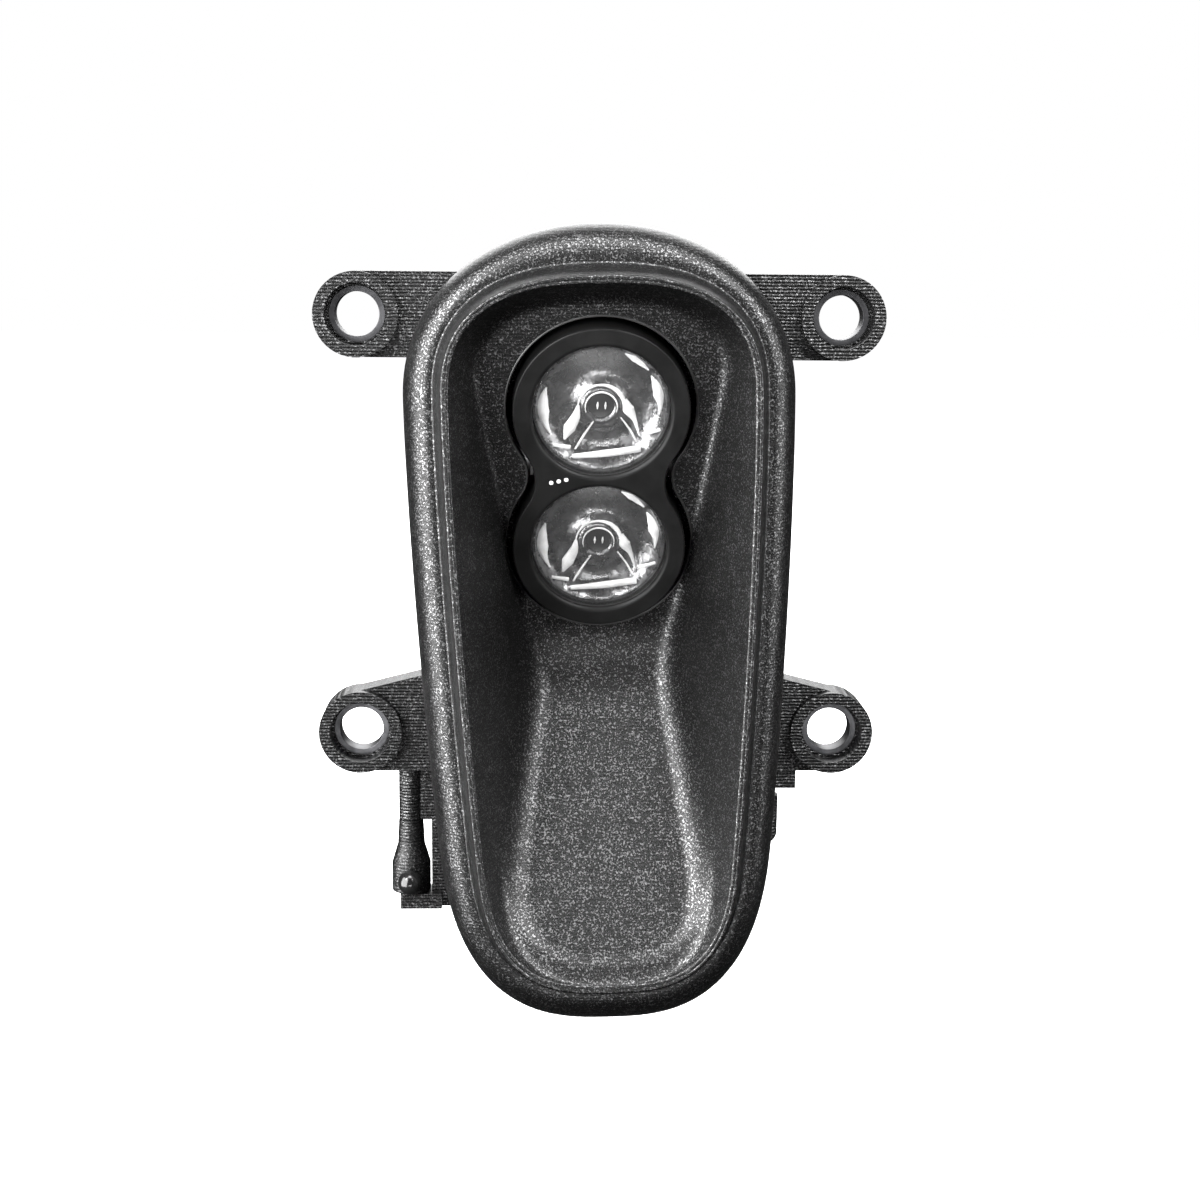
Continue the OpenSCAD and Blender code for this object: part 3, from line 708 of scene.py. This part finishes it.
@dataclass
class PodPlace:
    """The pod's own axes: X across, Y up along the pad, Z out of it."""

    tilt: float = 18.0
    height: float = 8.2
    depth: float = -9.117

    def matrix(self) -> Matrix:
        """From the pod's axes to the lamp's, in millimetres."""
        return (Matrix.Translation((0.0, self.depth, self.height))
                @ Matrix.Rotation(math.radians(90 + self.tilt), 4, "X"))


@dataclass
class Eight:
    """Two round lobes joined by a waist with smooth arcs, in the pod's own axes."""

    lobe: float
    waist: float
    pitch: float = OPTIC_PITCH
    steps: int = 30

    def points(self) -> list[tuple[float, float]]:
        """The outline, clockwise from the top.

        Returns:
            Its points, across and up the pod.
        """
        half = self.pitch / 2
        arc = (self.lobe ** 2 - half ** 2 - self.waist ** 2) / (2 * (self.waist - self.lobe))
        reach = math.asin(half / (self.lobe + arc))
        quarter = []
        for i in range(self.steps):
            a = math.pi / 2 - (math.pi / 2 + reach) * i / self.steps
            quarter.append((self.lobe * math.cos(a), half + self.lobe * math.sin(a)))
        for i in range(self.steps // 3):
            a = reach * (1 - 3 * i / self.steps)
            quarter.append((self.waist + arc - arc * math.cos(a), arc * math.sin(a)))
        right = quarter + [(self.waist, 0.0)] + [(x, -y) for x, y in reversed(quarter)]
        return right + [(-x, y) for x, y in reversed(right[1:-1])]

    def prism(self, low: float, high: float) -> bmesh.types.BMesh:
        """The outline as a solid between two heights.

        Args:
            low: height of its rear face.
            high: height of its front face.

        Returns:
            The solid.
        """
        mesh = bmesh.new()
        face = mesh.faces.new([mesh.verts.new((x, y, low)) for x, y in self.points()])
        top = bmesh.ops.extrude_face_region(mesh, geom=[face], use_keep_orig=True)
        bmesh.ops.translate(mesh, vec=(0, 0, high - low),
                            verts=[g for g in top["geom"] if isinstance(g, bmesh.types.BMVert)])
        bmesh.ops.recalc_face_normals(mesh, faces=mesh.faces)
        return mesh


@dataclass
class ScoopShade:
    """The scoop: lip, flange, tilted pad, side walls and chute, with the pod's opening."""

    outline: ScoopOutline
    place: PodPlace
    lip_front: float = 22.0
    lip_t: float = 1.2
    lip_groove: float = 6.0
    flange_w: float = 6.6
    flange_back: float = 13.0
    wall: float = 1.8
    pad_recess: float = 4.5
    pad_edge_drop: float = 2.4
    valley_z: float = -21.0
    valley_round: float = 5.0
    side_steepness: float = 2.25
    side_round: float = 2.0
    chute_round: float = 7.0
    soft_growth: float = 2.5
    soft_least: float = 0.3
    round_from: float = -8.0
    round_to: float = -26.0
    joint_y: float = -6.0
    rim_in: float = 1.2
    rim_step: float = 0.7
    groove_w: float = 1.8
    fine_line: float = 0.07
    opening_lobe: float = 13.95
    opening_waist: float = 10.65
    cut_reach: float = 13.0
    bead_r: float = 0.2
    bead_sink: float = 0.06
    bead_sides: int = 8
    smooth_turn: float = 38.0
    steps: int = 264
    crown_rings: int = 12
    insets: tuple = (15.5, 14.6, 13.7, 12.8, 12.0, 11.2, 10.5, 9.8, 9.2, 8.6, 8.0, 7.5, 7.0, 6.5, 6.0, 5.5,
                     5.0, 4.5, 4.0, 3.5, 3.0, 2.6, 2.2, 1.8, 1.4, 1.1, 0.85, 0.7)

    def soft_min(self, a: float, b: float, soft: float) -> float:
        """The lesser of two numbers, with a rounded corner where they meet."""
        return min(a, b) - max(soft - abs(a - b), 0.0) ** 2 / (4 * soft)

    @property
    def groove_floor(self) -> float:
        """Depth of the moulding's rear face under the groove."""
        return self.lip_groove + 1 - self.lip_front

    def surface(self, z: float, inset: float, back: bool) -> float:
        """Depth of the scoop's front or rear surface.

        Args:
            z: height before the lean.
            inset: distance inside the lip's middle line.
            back: whether the rear surface is wanted.

        Returns:
            The depth, along Y.
        """
        o = self.outline
        half = self.lip_t / 2
        pad_top_z = o.top_z + o.top_rise - half - self.pad_edge_drop
        pad_top_y = self.pad_recess - self.lip_front
        tilt = math.radians(self.place.tilt)
        low_z = o.low_z - o.low_drop + half
        slope = (pad_top_y + (pad_top_z - self.valley_z) * math.tan(tilt) + self.lip_front - half) \
            / (self.valley_z - low_z)
        pad = pad_top_y + (pad_top_z - z) * math.tan(tilt)
        chute = half - self.lip_front + (z - low_z) * slope
        side = half / 2 - self.lip_front + self.side_steepness * (inset - half)
        if back:
            pad += self.wall / math.cos(tilt)
            chute += self.wall * math.hypot(1, slope)
            side += self.wall * math.hypot(1, self.side_steepness)
        share = min(1.0, max(0.0, (self.round_from - z) / (self.round_from - self.round_to)))
        soft = self.side_round + (self.chute_round - self.side_round) * share
        soft = min(soft, self.soft_growth * (inset - half) + self.soft_least)
        y = self.soft_min(self.soft_min(pad, chute, self.valley_round), side, soft)
        return max(self.groove_floor, y) if back else y

    def section(self) -> list[tuple[float, float]]:
        """The lip's and flange's section: distance outside the lip's middle line, and depth.

        Returns:
            Its points, from the lip's inner edge over the flange to the rear.
        """
        half = self.lip_t / 2
        front = -self.lip_front
        crown_low, crown_high = front + self.flange_back, front + self.lip_groove
        start = self.groove_w + self.rim_step
        turns = (math.pi / 2 * i / self.crown_rings for i in range(self.crown_rings + 1))
        crown = [(start + (self.flange_w - start) * math.sin(a),
                  crown_low - (crown_low - crown_high) * math.cos(a)) for a in turns]
        line, groove = self.fine_line, self.lip_groove
        lip_edge = [(-half * 0.97, front + half * 0.4), (-half * 0.86, front + half * 0.17),
                    (-half * 0.68, front + 0.02), (-half * 0.5, front), (-2 * line, front),
                    (-line, front + line), (line, front + line), (2 * line, front), (half * 0.5, front),
                    (half * 0.68, front + 0.02), (half * 0.86, front + half * 0.2)]
        lip_wall = [(half, front + half * 0.6), (half + 0.16, front + 1.2),
                    (half + 0.5, front + 0.55 * groove), (half + 0.72, front + 0.75 * groove),
                    (self.groove_w, crown_high - 0.3), (self.groove_w + 0.12, crown_high - 0.04),
                    (self.groove_w + 0.32, crown_high + 0.08)]
        rim, joint = self.flange_w - self.rim_step, self.joint_y
        back = [(rim + 0.6, crown_low + 0.6), (rim + 0.3, (crown_low + joint) / 2), (rim + 0.1, joint - 0.25),
                (rim - 0.15, joint), (self.rim_in + 0.15, joint), (self.rim_in, joint - 0.15),
                (self.rim_in, self.groove_floor)]
        return lip_edge + lip_wall + crown + back

    def shell(self) -> bmesh.types.BMesh:
        """The closed scoop before its opening is cut.

        Returns:
            The shape, with its faces outward.
        """
        mesh = bmesh.new()
        share = mesh.verts.layers.float.new("share")
        ring = bmesh.ops.create_circle(mesh, cap_ends=False, segments=self.steps, radius=1.0)
        for i, vert in enumerate(ring["verts"]):
            vert[share] = i / self.steps
        edges = list(mesh.edges)

        def settle(verts: Iterable[bmesh.types.BMVert], grow: float, depth: Optional[float],
                   back: bool) -> None:
            """Places a ring's points on the outline, at one depth or on the scoop's surface.

            Args:
                verts: the ring's points.
                grow: the ring's distance outside the lip's middle line.
                depth: its depth, or None to follow the surface.
                back: whether it follows the rear surface.
            """
            for vert in verts:
                x, z = self.outline.local(vert[share], grow)
                y = self.surface(z, -grow, back) if depth is None else depth
                x, z = self.outline.leaned(x, z)
                vert.co = (x, y, z)

        rings = [(-i, None, False) for i in self.insets] + [(g, y, False) for g, y in self.section()]
        rings += [(-i, None, True) for i in reversed(self.insets)]
        settle(ring["verts"], *rings[0])
        first = edges
        for grow, depth, back in rings[1:]:
            more = bmesh.ops.extrude_edge_only(mesh, edges=edges)["geom"]
            verts = [g for g in more if isinstance(g, bmesh.types.BMVert)]
            fresh = set(verts)
            edges = [g for g in more if isinstance(g, bmesh.types.BMEdge) and set(g.verts) <= fresh]
            settle(verts, grow, depth, back)
        for rim in (first, edges):
            self.close_across(mesh, rim, share)
        bmesh.ops.recalc_face_normals(mesh, faces=mesh.faces)
        return mesh

    def close_across(self, mesh: bmesh.types.BMesh, rim: list[bmesh.types.BMEdge],
                     share: bmesh.types.BMLayerItem) -> None:
        """Closes a ring with level strips from its left side to its right.

        Args:
            mesh: the shape.
            rim: the ring's edges.
            share: the layer that holds each point's share of the way round.
        """
        def among(edge: bmesh.types.BMEdge, low: float, high: float) -> bool:
            """Whether both ends lie strictly between two shares."""
            return all(low < v[share] < high for v in edge.verts)

        slack = 0.25 / self.steps
        sides = [e for e in rim if among(e, slack, 0.5 - slack) or among(e, 0.5 + slack, 1.0)]
        tips = [e for e in rim if e not in set(sides)]
        bmesh.ops.bridge_loops(mesh, edges=sides)
        for tip in (0.0, 0.5):
            ends = [e for e in tips if any(abs(v[share] - tip) < slack for v in e.verts)]
            corners = {v: None for e in ends for v in e.verts}
            bmesh.ops.contextual_create(mesh, geom=list(corners))

    def build(self, shop: Workshop) -> None:
        """Builds the scoop, cuts the pod's opening and lays a thin bead along it, which catches the light and
        carries a painted highlight.

        Args:
            shop: makes and dresses the pieces.
        """
        hole = Eight(self.opening_lobe, self.opening_waist).prism(-self.cut_reach, self.cut_reach)
        bmesh.ops.transform(hole, matrix=self.place.matrix(), verts=hole.verts)
        mesh = cut_out(self.shell(), hole)
        piece = shop.piece("scoop_shade", mesh, "housing_nylon", Body.HOUSING, ("scoop_housing",),
                           self.smooth_turn)
        shop.dress(piece, "scoop_nylon")
        edge = Eight(self.opening_lobe + self.bead_r / 2, self.opening_waist + self.bead_r / 2)
        loop = [Vector((x, y, -self.bead_sink)) for x, y in edge.points()]
        bead = swept([*loop, loop[0]], lambda share: self.bead_r, self.bead_sides)
        bmesh.ops.transform(bead, matrix=self.place.matrix(), verts=bead.verts)
        # the bead's lighter edge finish is a painted highlight along the opening's edge
        shop.dress(shop.piece("opening_edge", bead, "housing_nylon", Body.HOUSING), "edge_sheen")


def cut_out(shape: bmesh.types.BMesh, tool: bmesh.types.BMesh) -> bmesh.types.BMesh:
    """Cuts one closed shape out of another.

    Args:
        shape: what is cut, used up.
        tool: what is taken away, used up.

    Returns:
        The cut shape.
    """
    objects = []
    for name, mesh in (("cut_shape", shape), ("cut_tool", tool)):
        objects.append(placed(name, written(name, mesh)))
    cut = objects[0].modifiers.new("cut", "BOOLEAN")
    cut.operation = "DIFFERENCE"
    cut.solver = "MANIFOLD"
    cut.object = objects[1]
    bpy.context.view_layer.update()
    graph = bpy.context.evaluated_depsgraph_get()
    result = bmesh.new()
    result.from_mesh(objects[0].evaluated_get(graph).data)
    for spent in objects:
        data = spent.data
        bpy.data.objects.remove(spent)
        bpy.data.meshes.remove(data)
    return result


# ---------------------------------------------------------------------------------------------
# Lamp pod


@dataclass
class Stroke:
    """A bright stroke that stands for a reflection in the optic: points across and up, and widths."""

    name: str
    points: tuple
    widths: tuple
    height: float
    least: float = 0.04
    flatness: float = 0.5

    def mesh(self, sides: int = 10, steps: int = 20) -> bmesh.types.BMesh:
        """The stroke as a flattened tube along a smooth curve through its points.

        Args:
            sides: corners of the tube's section.
            steps: steps along the curve.

        Returns:
            The closed tube.
        """
        curve = smooth_path([Vector((x, y, self.height)) for x, y in self.points], steps)
        widths = self.widths

        def radius(t: float) -> float:
            """Half the stroke's width at a share of its length.

            Args:
                t: share of the length.

            Returns:
                The radius.
            """
            place = t * (len(widths) - 1)
            k = min(int(place), len(widths) - 2)
            return max(self.least, (widths[k] + (widths[k + 1] - widths[k]) * (place - k)) / 2)

        mesh = swept(curve, radius, sides)
        bmesh.ops.translate(mesh, vec=(0, 0, -self.height), verts=mesh.verts)
        bmesh.ops.scale(mesh, vec=(1, 1, self.flatness), verts=mesh.verts)
        bmesh.ops.translate(mesh, vec=(0, 0, self.height), verts=mesh.verts)
        return mesh


def smooth_path(points: list[Vector], steps: int) -> list[Vector]:
    """A smooth curve through points (Catmull-Rom), with even steps between them.

    Args:
        points: what the curve passes through.
        steps: steps in the whole curve.

    Returns:
        The curve's points.
    """
    if len(points) < 3:
        return [points[0].lerp(points[-1], i / steps) for i in range(steps + 1)]
    ends = [points[0] * 2 - points[1], *points, points[-1] * 2 - points[-2]]
    path = []
    each = max(2, steps // (len(points) - 1))
    for a, b, c, d in zip(ends, ends[1:], ends[2:], ends[3:]):
        for i in range(each):
            t = i / each
            path.append(0.5 * (2 * b + (c - a) * t + (2 * a - 5 * b + 4 * c - d) * t * t
                               + (3 * b - a - 3 * c + d) * t ** 3))
    return [*path, points[-1]]


def arc(radius: float, start: float, end: float, steps: int) -> tuple:
    """Points on an arc; the angles are in degrees, counter-clockwise from the right."""
    turns = (math.radians(start + (end - start) * i / steps) for i in range(steps + 1))
    return tuple((radius * math.cos(a), radius * math.sin(a)) for a in turns)


@dataclass
class Optic:
    """One lens: clear window, dark bowl, emitter well and strokes that stand for its reflections."""

    name: str
    side: int
    place: PodPlace
    pitch: float = OPTIC_PITCH
    window_r: float = 10.05
    flange_r: float = 10.5
    front: float = 1.3
    window_t: float = 0.5
    bowl_r: float = 9.8
    bowl_depth: float = 3.2
    bowl_back: float = -9.2
    bowl_curve: tuple = ((8.0, -1.0), (6.4, -1.6), (4.8, -1.75), (3.7, -1.3), (3.1, -0.75), (2.7, -0.55),
                         (2.35, -0.5))
    rim_depth: float = 2.2
    well_r: float = 1.95
    # painted reflections: two bright strokes in the emitter well, across and up from its middle
    well_glints: tuple = (("left", -0.55), ("right", 0.62))
    steps: int = 96
    glints: tuple = (
        Stroke("inner_arc", arc(2.35, 200, -20, 12), (0.1, 0.22, 0.3, 0.22, 0.1), -0.1),
        Stroke("outer_arc", arc(3.4, 190, -10, 12), (0.15, 0.3, 0.4, 0.75, 0.45), -0.3),
        Stroke("bell_left", ((-3.35, 0.2), (-3.7, -1.6), (-4.6, -3.4), (-5.3, -5.2)), (0.4, 1.4, 1.9, 0.3),
               -0.4),
        Stroke("bell_right", ((3.4, 1.2), (4.0, -0.4), (4.9, -2.0), (5.7, -4.6)), (0.6, 1.8, 0.7, 0.2), -0.4),
        Stroke("leg_left", ((-1.1, -2.2), (-2.4, -4.3), (-3.7, -6.6)), (0.2, 0.35, 0.3), -0.1),
        Stroke("leg_right", ((2.9, -1.6), (4.2, -3.4), (5.3, -5.4)), (0.2, 0.3, 0.3), -0.1),
        Stroke("cross_bar", ((-4.1, -7.7), (0.9, -7.2), (5.9, -6.4)), (0.7, 1.15, 1.1), 0.0),
        Stroke("side_bar_left", ((-7.0, -5.9), (-4.4, -6.3)), (0.5, 0.7), 0.0),
        Stroke("side_bar_right", ((6.1, -4.2), (8.7, -3.4)), (0.7, 0.5), 0.0),
        Stroke("edge_left", arc(8.5, 160, 212, 8), (0.2, 1.5, 2.0, 0.9, 0.2), -0.5),
        Stroke("edge_right", arc(8.6, 34, -8, 8), (0.2, 1.3, 1.9, 0.8, 0.2), -0.5),
        Stroke("edge_top", arc(8.8, 68, 40, 6), (0.2, 1.1, 0.9, 0.2), -0.5),
    )

    def matrix(self) -> Matrix:
        """From the optic's axes to the lamp's."""
        return self.place.matrix() @ Matrix.Translation((0.0, self.side * self.pitch / 2, 0.0))

    def put(self, mesh: bmesh.types.BMesh) -> bmesh.types.BMesh:
        """Carries a mesh from the optic's axes to the lamp's."""
        bmesh.ops.transform(mesh, matrix=self.matrix(), verts=mesh.verts)
        return mesh

    def build(self, shop: Workshop) -> None:
        """Builds every piece of the optic.

        Args:
            shop: makes and dresses the pieces.
        """
        top, inner, rim = self.front, self.front - self.window_t, self.front - self.rim_depth
        cup = turned([(0, top), (self.window_r - 0.35, top), (self.window_r - 0.1, top - 0.12),
                      (self.flange_r, top - 0.4), (self.flange_r, rim), (self.bowl_r + 0.15, rim),
                      (self.bowl_r + 0.15, inner), (0, inner)], self.steps)
        shop.piece(f"{self.name}_window", self.put(cup), "optic_clear", Body.POD, (self.name,))
        low = -self.bowl_depth
        dish = [(self.bowl_r + 0.1, 0.4), (self.bowl_r - 0.25, 0.4), (self.bowl_r - 0.6, -0.3),
                *self.bowl_curve, (self.well_r, -0.7), (self.well_r - 0.1, low), (0, low),
                (0, self.bowl_back), (4.2, self.bowl_back), (self.bowl_r + 0.1, -0.9)]
        self.part(shop, "collimator", turned(dish, self.steps), "optic_bowl")
        lens_r = self.well_r * 0.97
        well = turned([(0, -0.9), (self.well_r * 0.6, -0.95), (lens_r, -0.75), (lens_r, low), (0, low)],
                      self.steps // 2)
        self.part(shop, "well", well, "optic_well")
        for glint in self.glints:
            self.part(shop, glint.name, glint.mesh(), "optic_glint")
        # the well's bright strokes are painted reflections, in the glint finish
        for side, x in self.well_glints:
            mark = Stroke(f"well_mark_{side}", ((x, -0.55), (x + 0.05, 0.55)), (0.12, 0.34, 0.12), -0.78)
            self.part(shop, mark.name, mark.mesh(8, 8), "optic_glint")

    def part(self, shop: Workshop, name: str, mesh: bmesh.types.BMesh, finish: str) -> None:
        """Adds one piece behind the window, in a finish of its own."""
        shop.dress(shop.piece(f"{self.name}_{name}", self.put(mesh), "optic_clear", Body.POD), finish)


@dataclass
class LampPod:
    """The aimable pod: bezel, two optics and the parts behind them."""

    place: PodPlace
    bezel_round: float = 0.35
    proud: float = 2.3
    part_round: float = 0.12
    carried: tuple = ("pod_body", "pod_screws", "pod_grommet", "pivot_washers", "pivot_screws", "pod_seal")
    dots: int = 3
    dot_place: tuple = (-7.2, -0.1)
    dot_step: tuple = (1.1, 0.25)
    dot_r: float = 0.34
    dot_top_r: float = 0.28
    dot_rise: float = 0.03
    dot_sink: float = 0.02

    def build(self, shop: Workshop) -> None:
        """Builds the pod's pieces.

        Args:
            shop: makes and dresses the pieces.
        """
        shop.softened("optic_bezel", "bezel_frame", Body.POD, self.bezel_round, 3)
        for name, side in (("upper_lens", 1), ("lower_lens", -1)):
            Optic(name, side, self.place).build(shop)
        top, low = self.proud + self.dot_rise, self.proud - self.dot_sink
        for i in range(self.dots):
            dot = turned([(0, top), (self.dot_top_r, top), (self.dot_r, low), (0, low)], 24)
            x, y = (start + i * step for start, step in zip(self.dot_place, self.dot_step))
            bmesh.ops.translate(dot, vec=(x, y, 0), verts=dot.verts)
            bmesh.ops.transform(dot, matrix=self.place.matrix(), verts=dot.verts)
            shop.dress(shop.piece(f"tally_dot_{i + 1}", dot, "bezel_black", Body.POD), "tally_paint")
        for node in self.carried:
            shop.softened(node, f"{node}_eased", Body.POD, self.part_round)


# ---------------------------------------------------------------------------------------------
# Rear housing


@dataclass
class RearCase:
    """The rear housing with its ears, sleeves, duct, cover and gland."""

    nylon: tuple = ("rear_housing", "rear_cover")
    small: tuple = ("duct_sleeve", "gland_body", "gland_cap", "gland_nut", "vent_plug", "cover_screws",
                    "housing_screws", "ear_sleeves", "duct_plug")
    edge: float = 0.18

    def build(self, shop: Workshop) -> None:
        """Builds the case's pieces.

        Args:
            shop: makes and dresses the pieces.
        """
        for node in self.nylon:
            shop.dress(shop.softened(node, f"{node}_eased", Body.HOUSING, self.edge), "rear_nylon")
        for node in self.small:
            shop.softened(node, f"{node}_eased", Body.HOUSING, self.edge / 2)


# ---------------------------------------------------------------------------------------------
# Stage


@dataclass
class SoftLight:
    """A softbox, by its direction from the lamp."""

    name: str
    azimuth: float
    elevation: float
    distance: float
    width: float
    height: float
    power: float

    def build(self, target: Vector) -> None:
        """Hangs the softbox so that it faces the target.

        Args:
            target: the point that it faces, in metres.
        """
        way = direction(self.azimuth, self.elevation)
        light = bpy.data.lights.new(self.name, "AREA")
        light.shape = "RECTANGLE"
        light.size, light.size_y, light.energy = self.width, self.height, self.power
        turn = way.to_track_quat("Z", "Y").to_matrix().to_4x4()
        placed(self.name, light).matrix_world = Matrix.Translation(target + way * self.distance) @ turn


@dataclass
class Stage:
    """Camera, lights, world and floor."""

    azimuth: float = -2.0
    elevation: float = 10.0
    roll: float = 0.545
    distance: float = 0.3
    target: tuple = (0.000516, 0.0, -0.012)
    lens: float = 58.35
    sensor: float = 36.0
    nearest: float = 0.01
    surround: float = 0.03
    floor_z: float = -0.09
    floor_size: float = 6.0
    floor_tone: float = 0.9
    lights: tuple = (
        SoftLight("left_softbox", -60, 8, 0.6, 0.68, 0.8, 26.0),
        SoftLight("right_softbox", 66, 12, 0.7, 0.45, 0.6, 6.5),
        SoftLight("upper_left_softbox", -50, 42, 0.7, 0.14, 0.22, 4.0),
        SoftLight("upper_right_softbox", 44, 42, 0.7, 0.36, 0.26, 6.5),
        SoftLight("front_softbox", 0, -14, 0.8, 0.3, 0.1, 1.6),
        SoftLight("top_softbox", 0, 72, 0.7, 0.5, 0.24, 6.5),
        SoftLight("rear_softbox", 180, 30, 0.9, 0.8, 0.6, 8.0),
    )

    def build(self) -> None:
        """Sets up the whole stage."""
        self.camera()
        for light in self.lights:
            light.build(Vector(self.target))
        self.world()
        self.floor()
        bpy.context.scene.view_settings.view_transform = "Standard"

    def camera(self) -> None:
        """Aims the camera."""
        a, r = math.radians(self.azimuth), math.radians(self.roll)
        back = direction(self.azimuth, self.elevation)
        right = Vector((math.cos(a), math.sin(a), 0.0))
        up = back.cross(right)
        turned_right = math.cos(r) * right + math.sin(r) * up
        turned_up = math.cos(r) * up - math.sin(r) * right
        spot = Vector(self.target) + back * self.distance
        data = bpy.data.cameras.new("lamp_camera")
        data.sensor_width, data.lens, data.clip_start = self.sensor, self.lens, self.nearest
        camera = placed("lamp_camera", data)
        turn = Matrix((turned_right, turned_up, back)).transposed().to_4x4()
        camera.matrix_world = Matrix.Translation(spot) @ turn
        bpy.context.scene.camera = camera

    def world(self) -> None:
        """A pale surround that lights the lamp only faintly."""
        world = bpy.data.worlds.new("pale_surround")
        bpy.context.scene.world = world
        world.use_nodes = True
        tree = world.node_tree
        tree.nodes.clear()
        seen, faint = (tree.nodes.new("ShaderNodeBackground") for _ in range(2))
        for backdrop, strength in ((seen, 1.0), (faint, self.surround)):
            backdrop.inputs["Color"].default_value = (1, 1, 1, 1)
            backdrop.inputs["Strength"].default_value = strength
        path = tree.nodes.new("ShaderNodeLightPath")
        mix = tree.nodes.new("ShaderNodeMixShader")
        out = tree.nodes.new("ShaderNodeOutputWorld")
        tree.links.new(path.outputs["Is Camera Ray"], mix.inputs[0])
        tree.links.new(faint.outputs[0], mix.inputs[1])
        tree.links.new(seen.outputs[0], mix.inputs[2])
        tree.links.new(mix.outputs[0], out.inputs["Surface"])

    def floor(self) -> None:
        """A plain pale floor, well below the lamp."""
        mesh = bmesh.new()
        bmesh.ops.create_grid(mesh, x_segments=1, y_segments=1, size=self.floor_size / 2)
        bmesh.ops.translate(mesh, vec=(0, 0, self.floor_z), verts=mesh.verts)
        floor = placed("pale_floor", written("pale_floor", mesh))
        g = Graph("pale_floor", {"Base Color": grey(self.floor_tone), "Roughness": 0.9,
                                 "Emission Color": grey(1.0), "Emission Strength": 1.0})
        floor.data.materials.append(g.material)
        floor.visible_diffuse = floor.visible_glossy = floor.visible_shadow = False


def main() -> None:
    """Builds the stage and every sub-assembly in order."""
    logging.basicConfig(level=logging.INFO, format="%(name)s: %(message)s")
    Stage().build()
    shop = Workshop(Finishes().table(), {s["node"]: s["material_slot"] for s in frame["record"]["subparts"]})
    for node, slot in shop.node_slots.items():
        shop.dress(frame["nodes"][node], slot)
    place = PodPlace()
    ScoopShade(ScoopOutline(), place).build(shop)
    RearCase().build(shop)
    LampPod(place).build(shop)


if __name__ == "__main__":
    main()
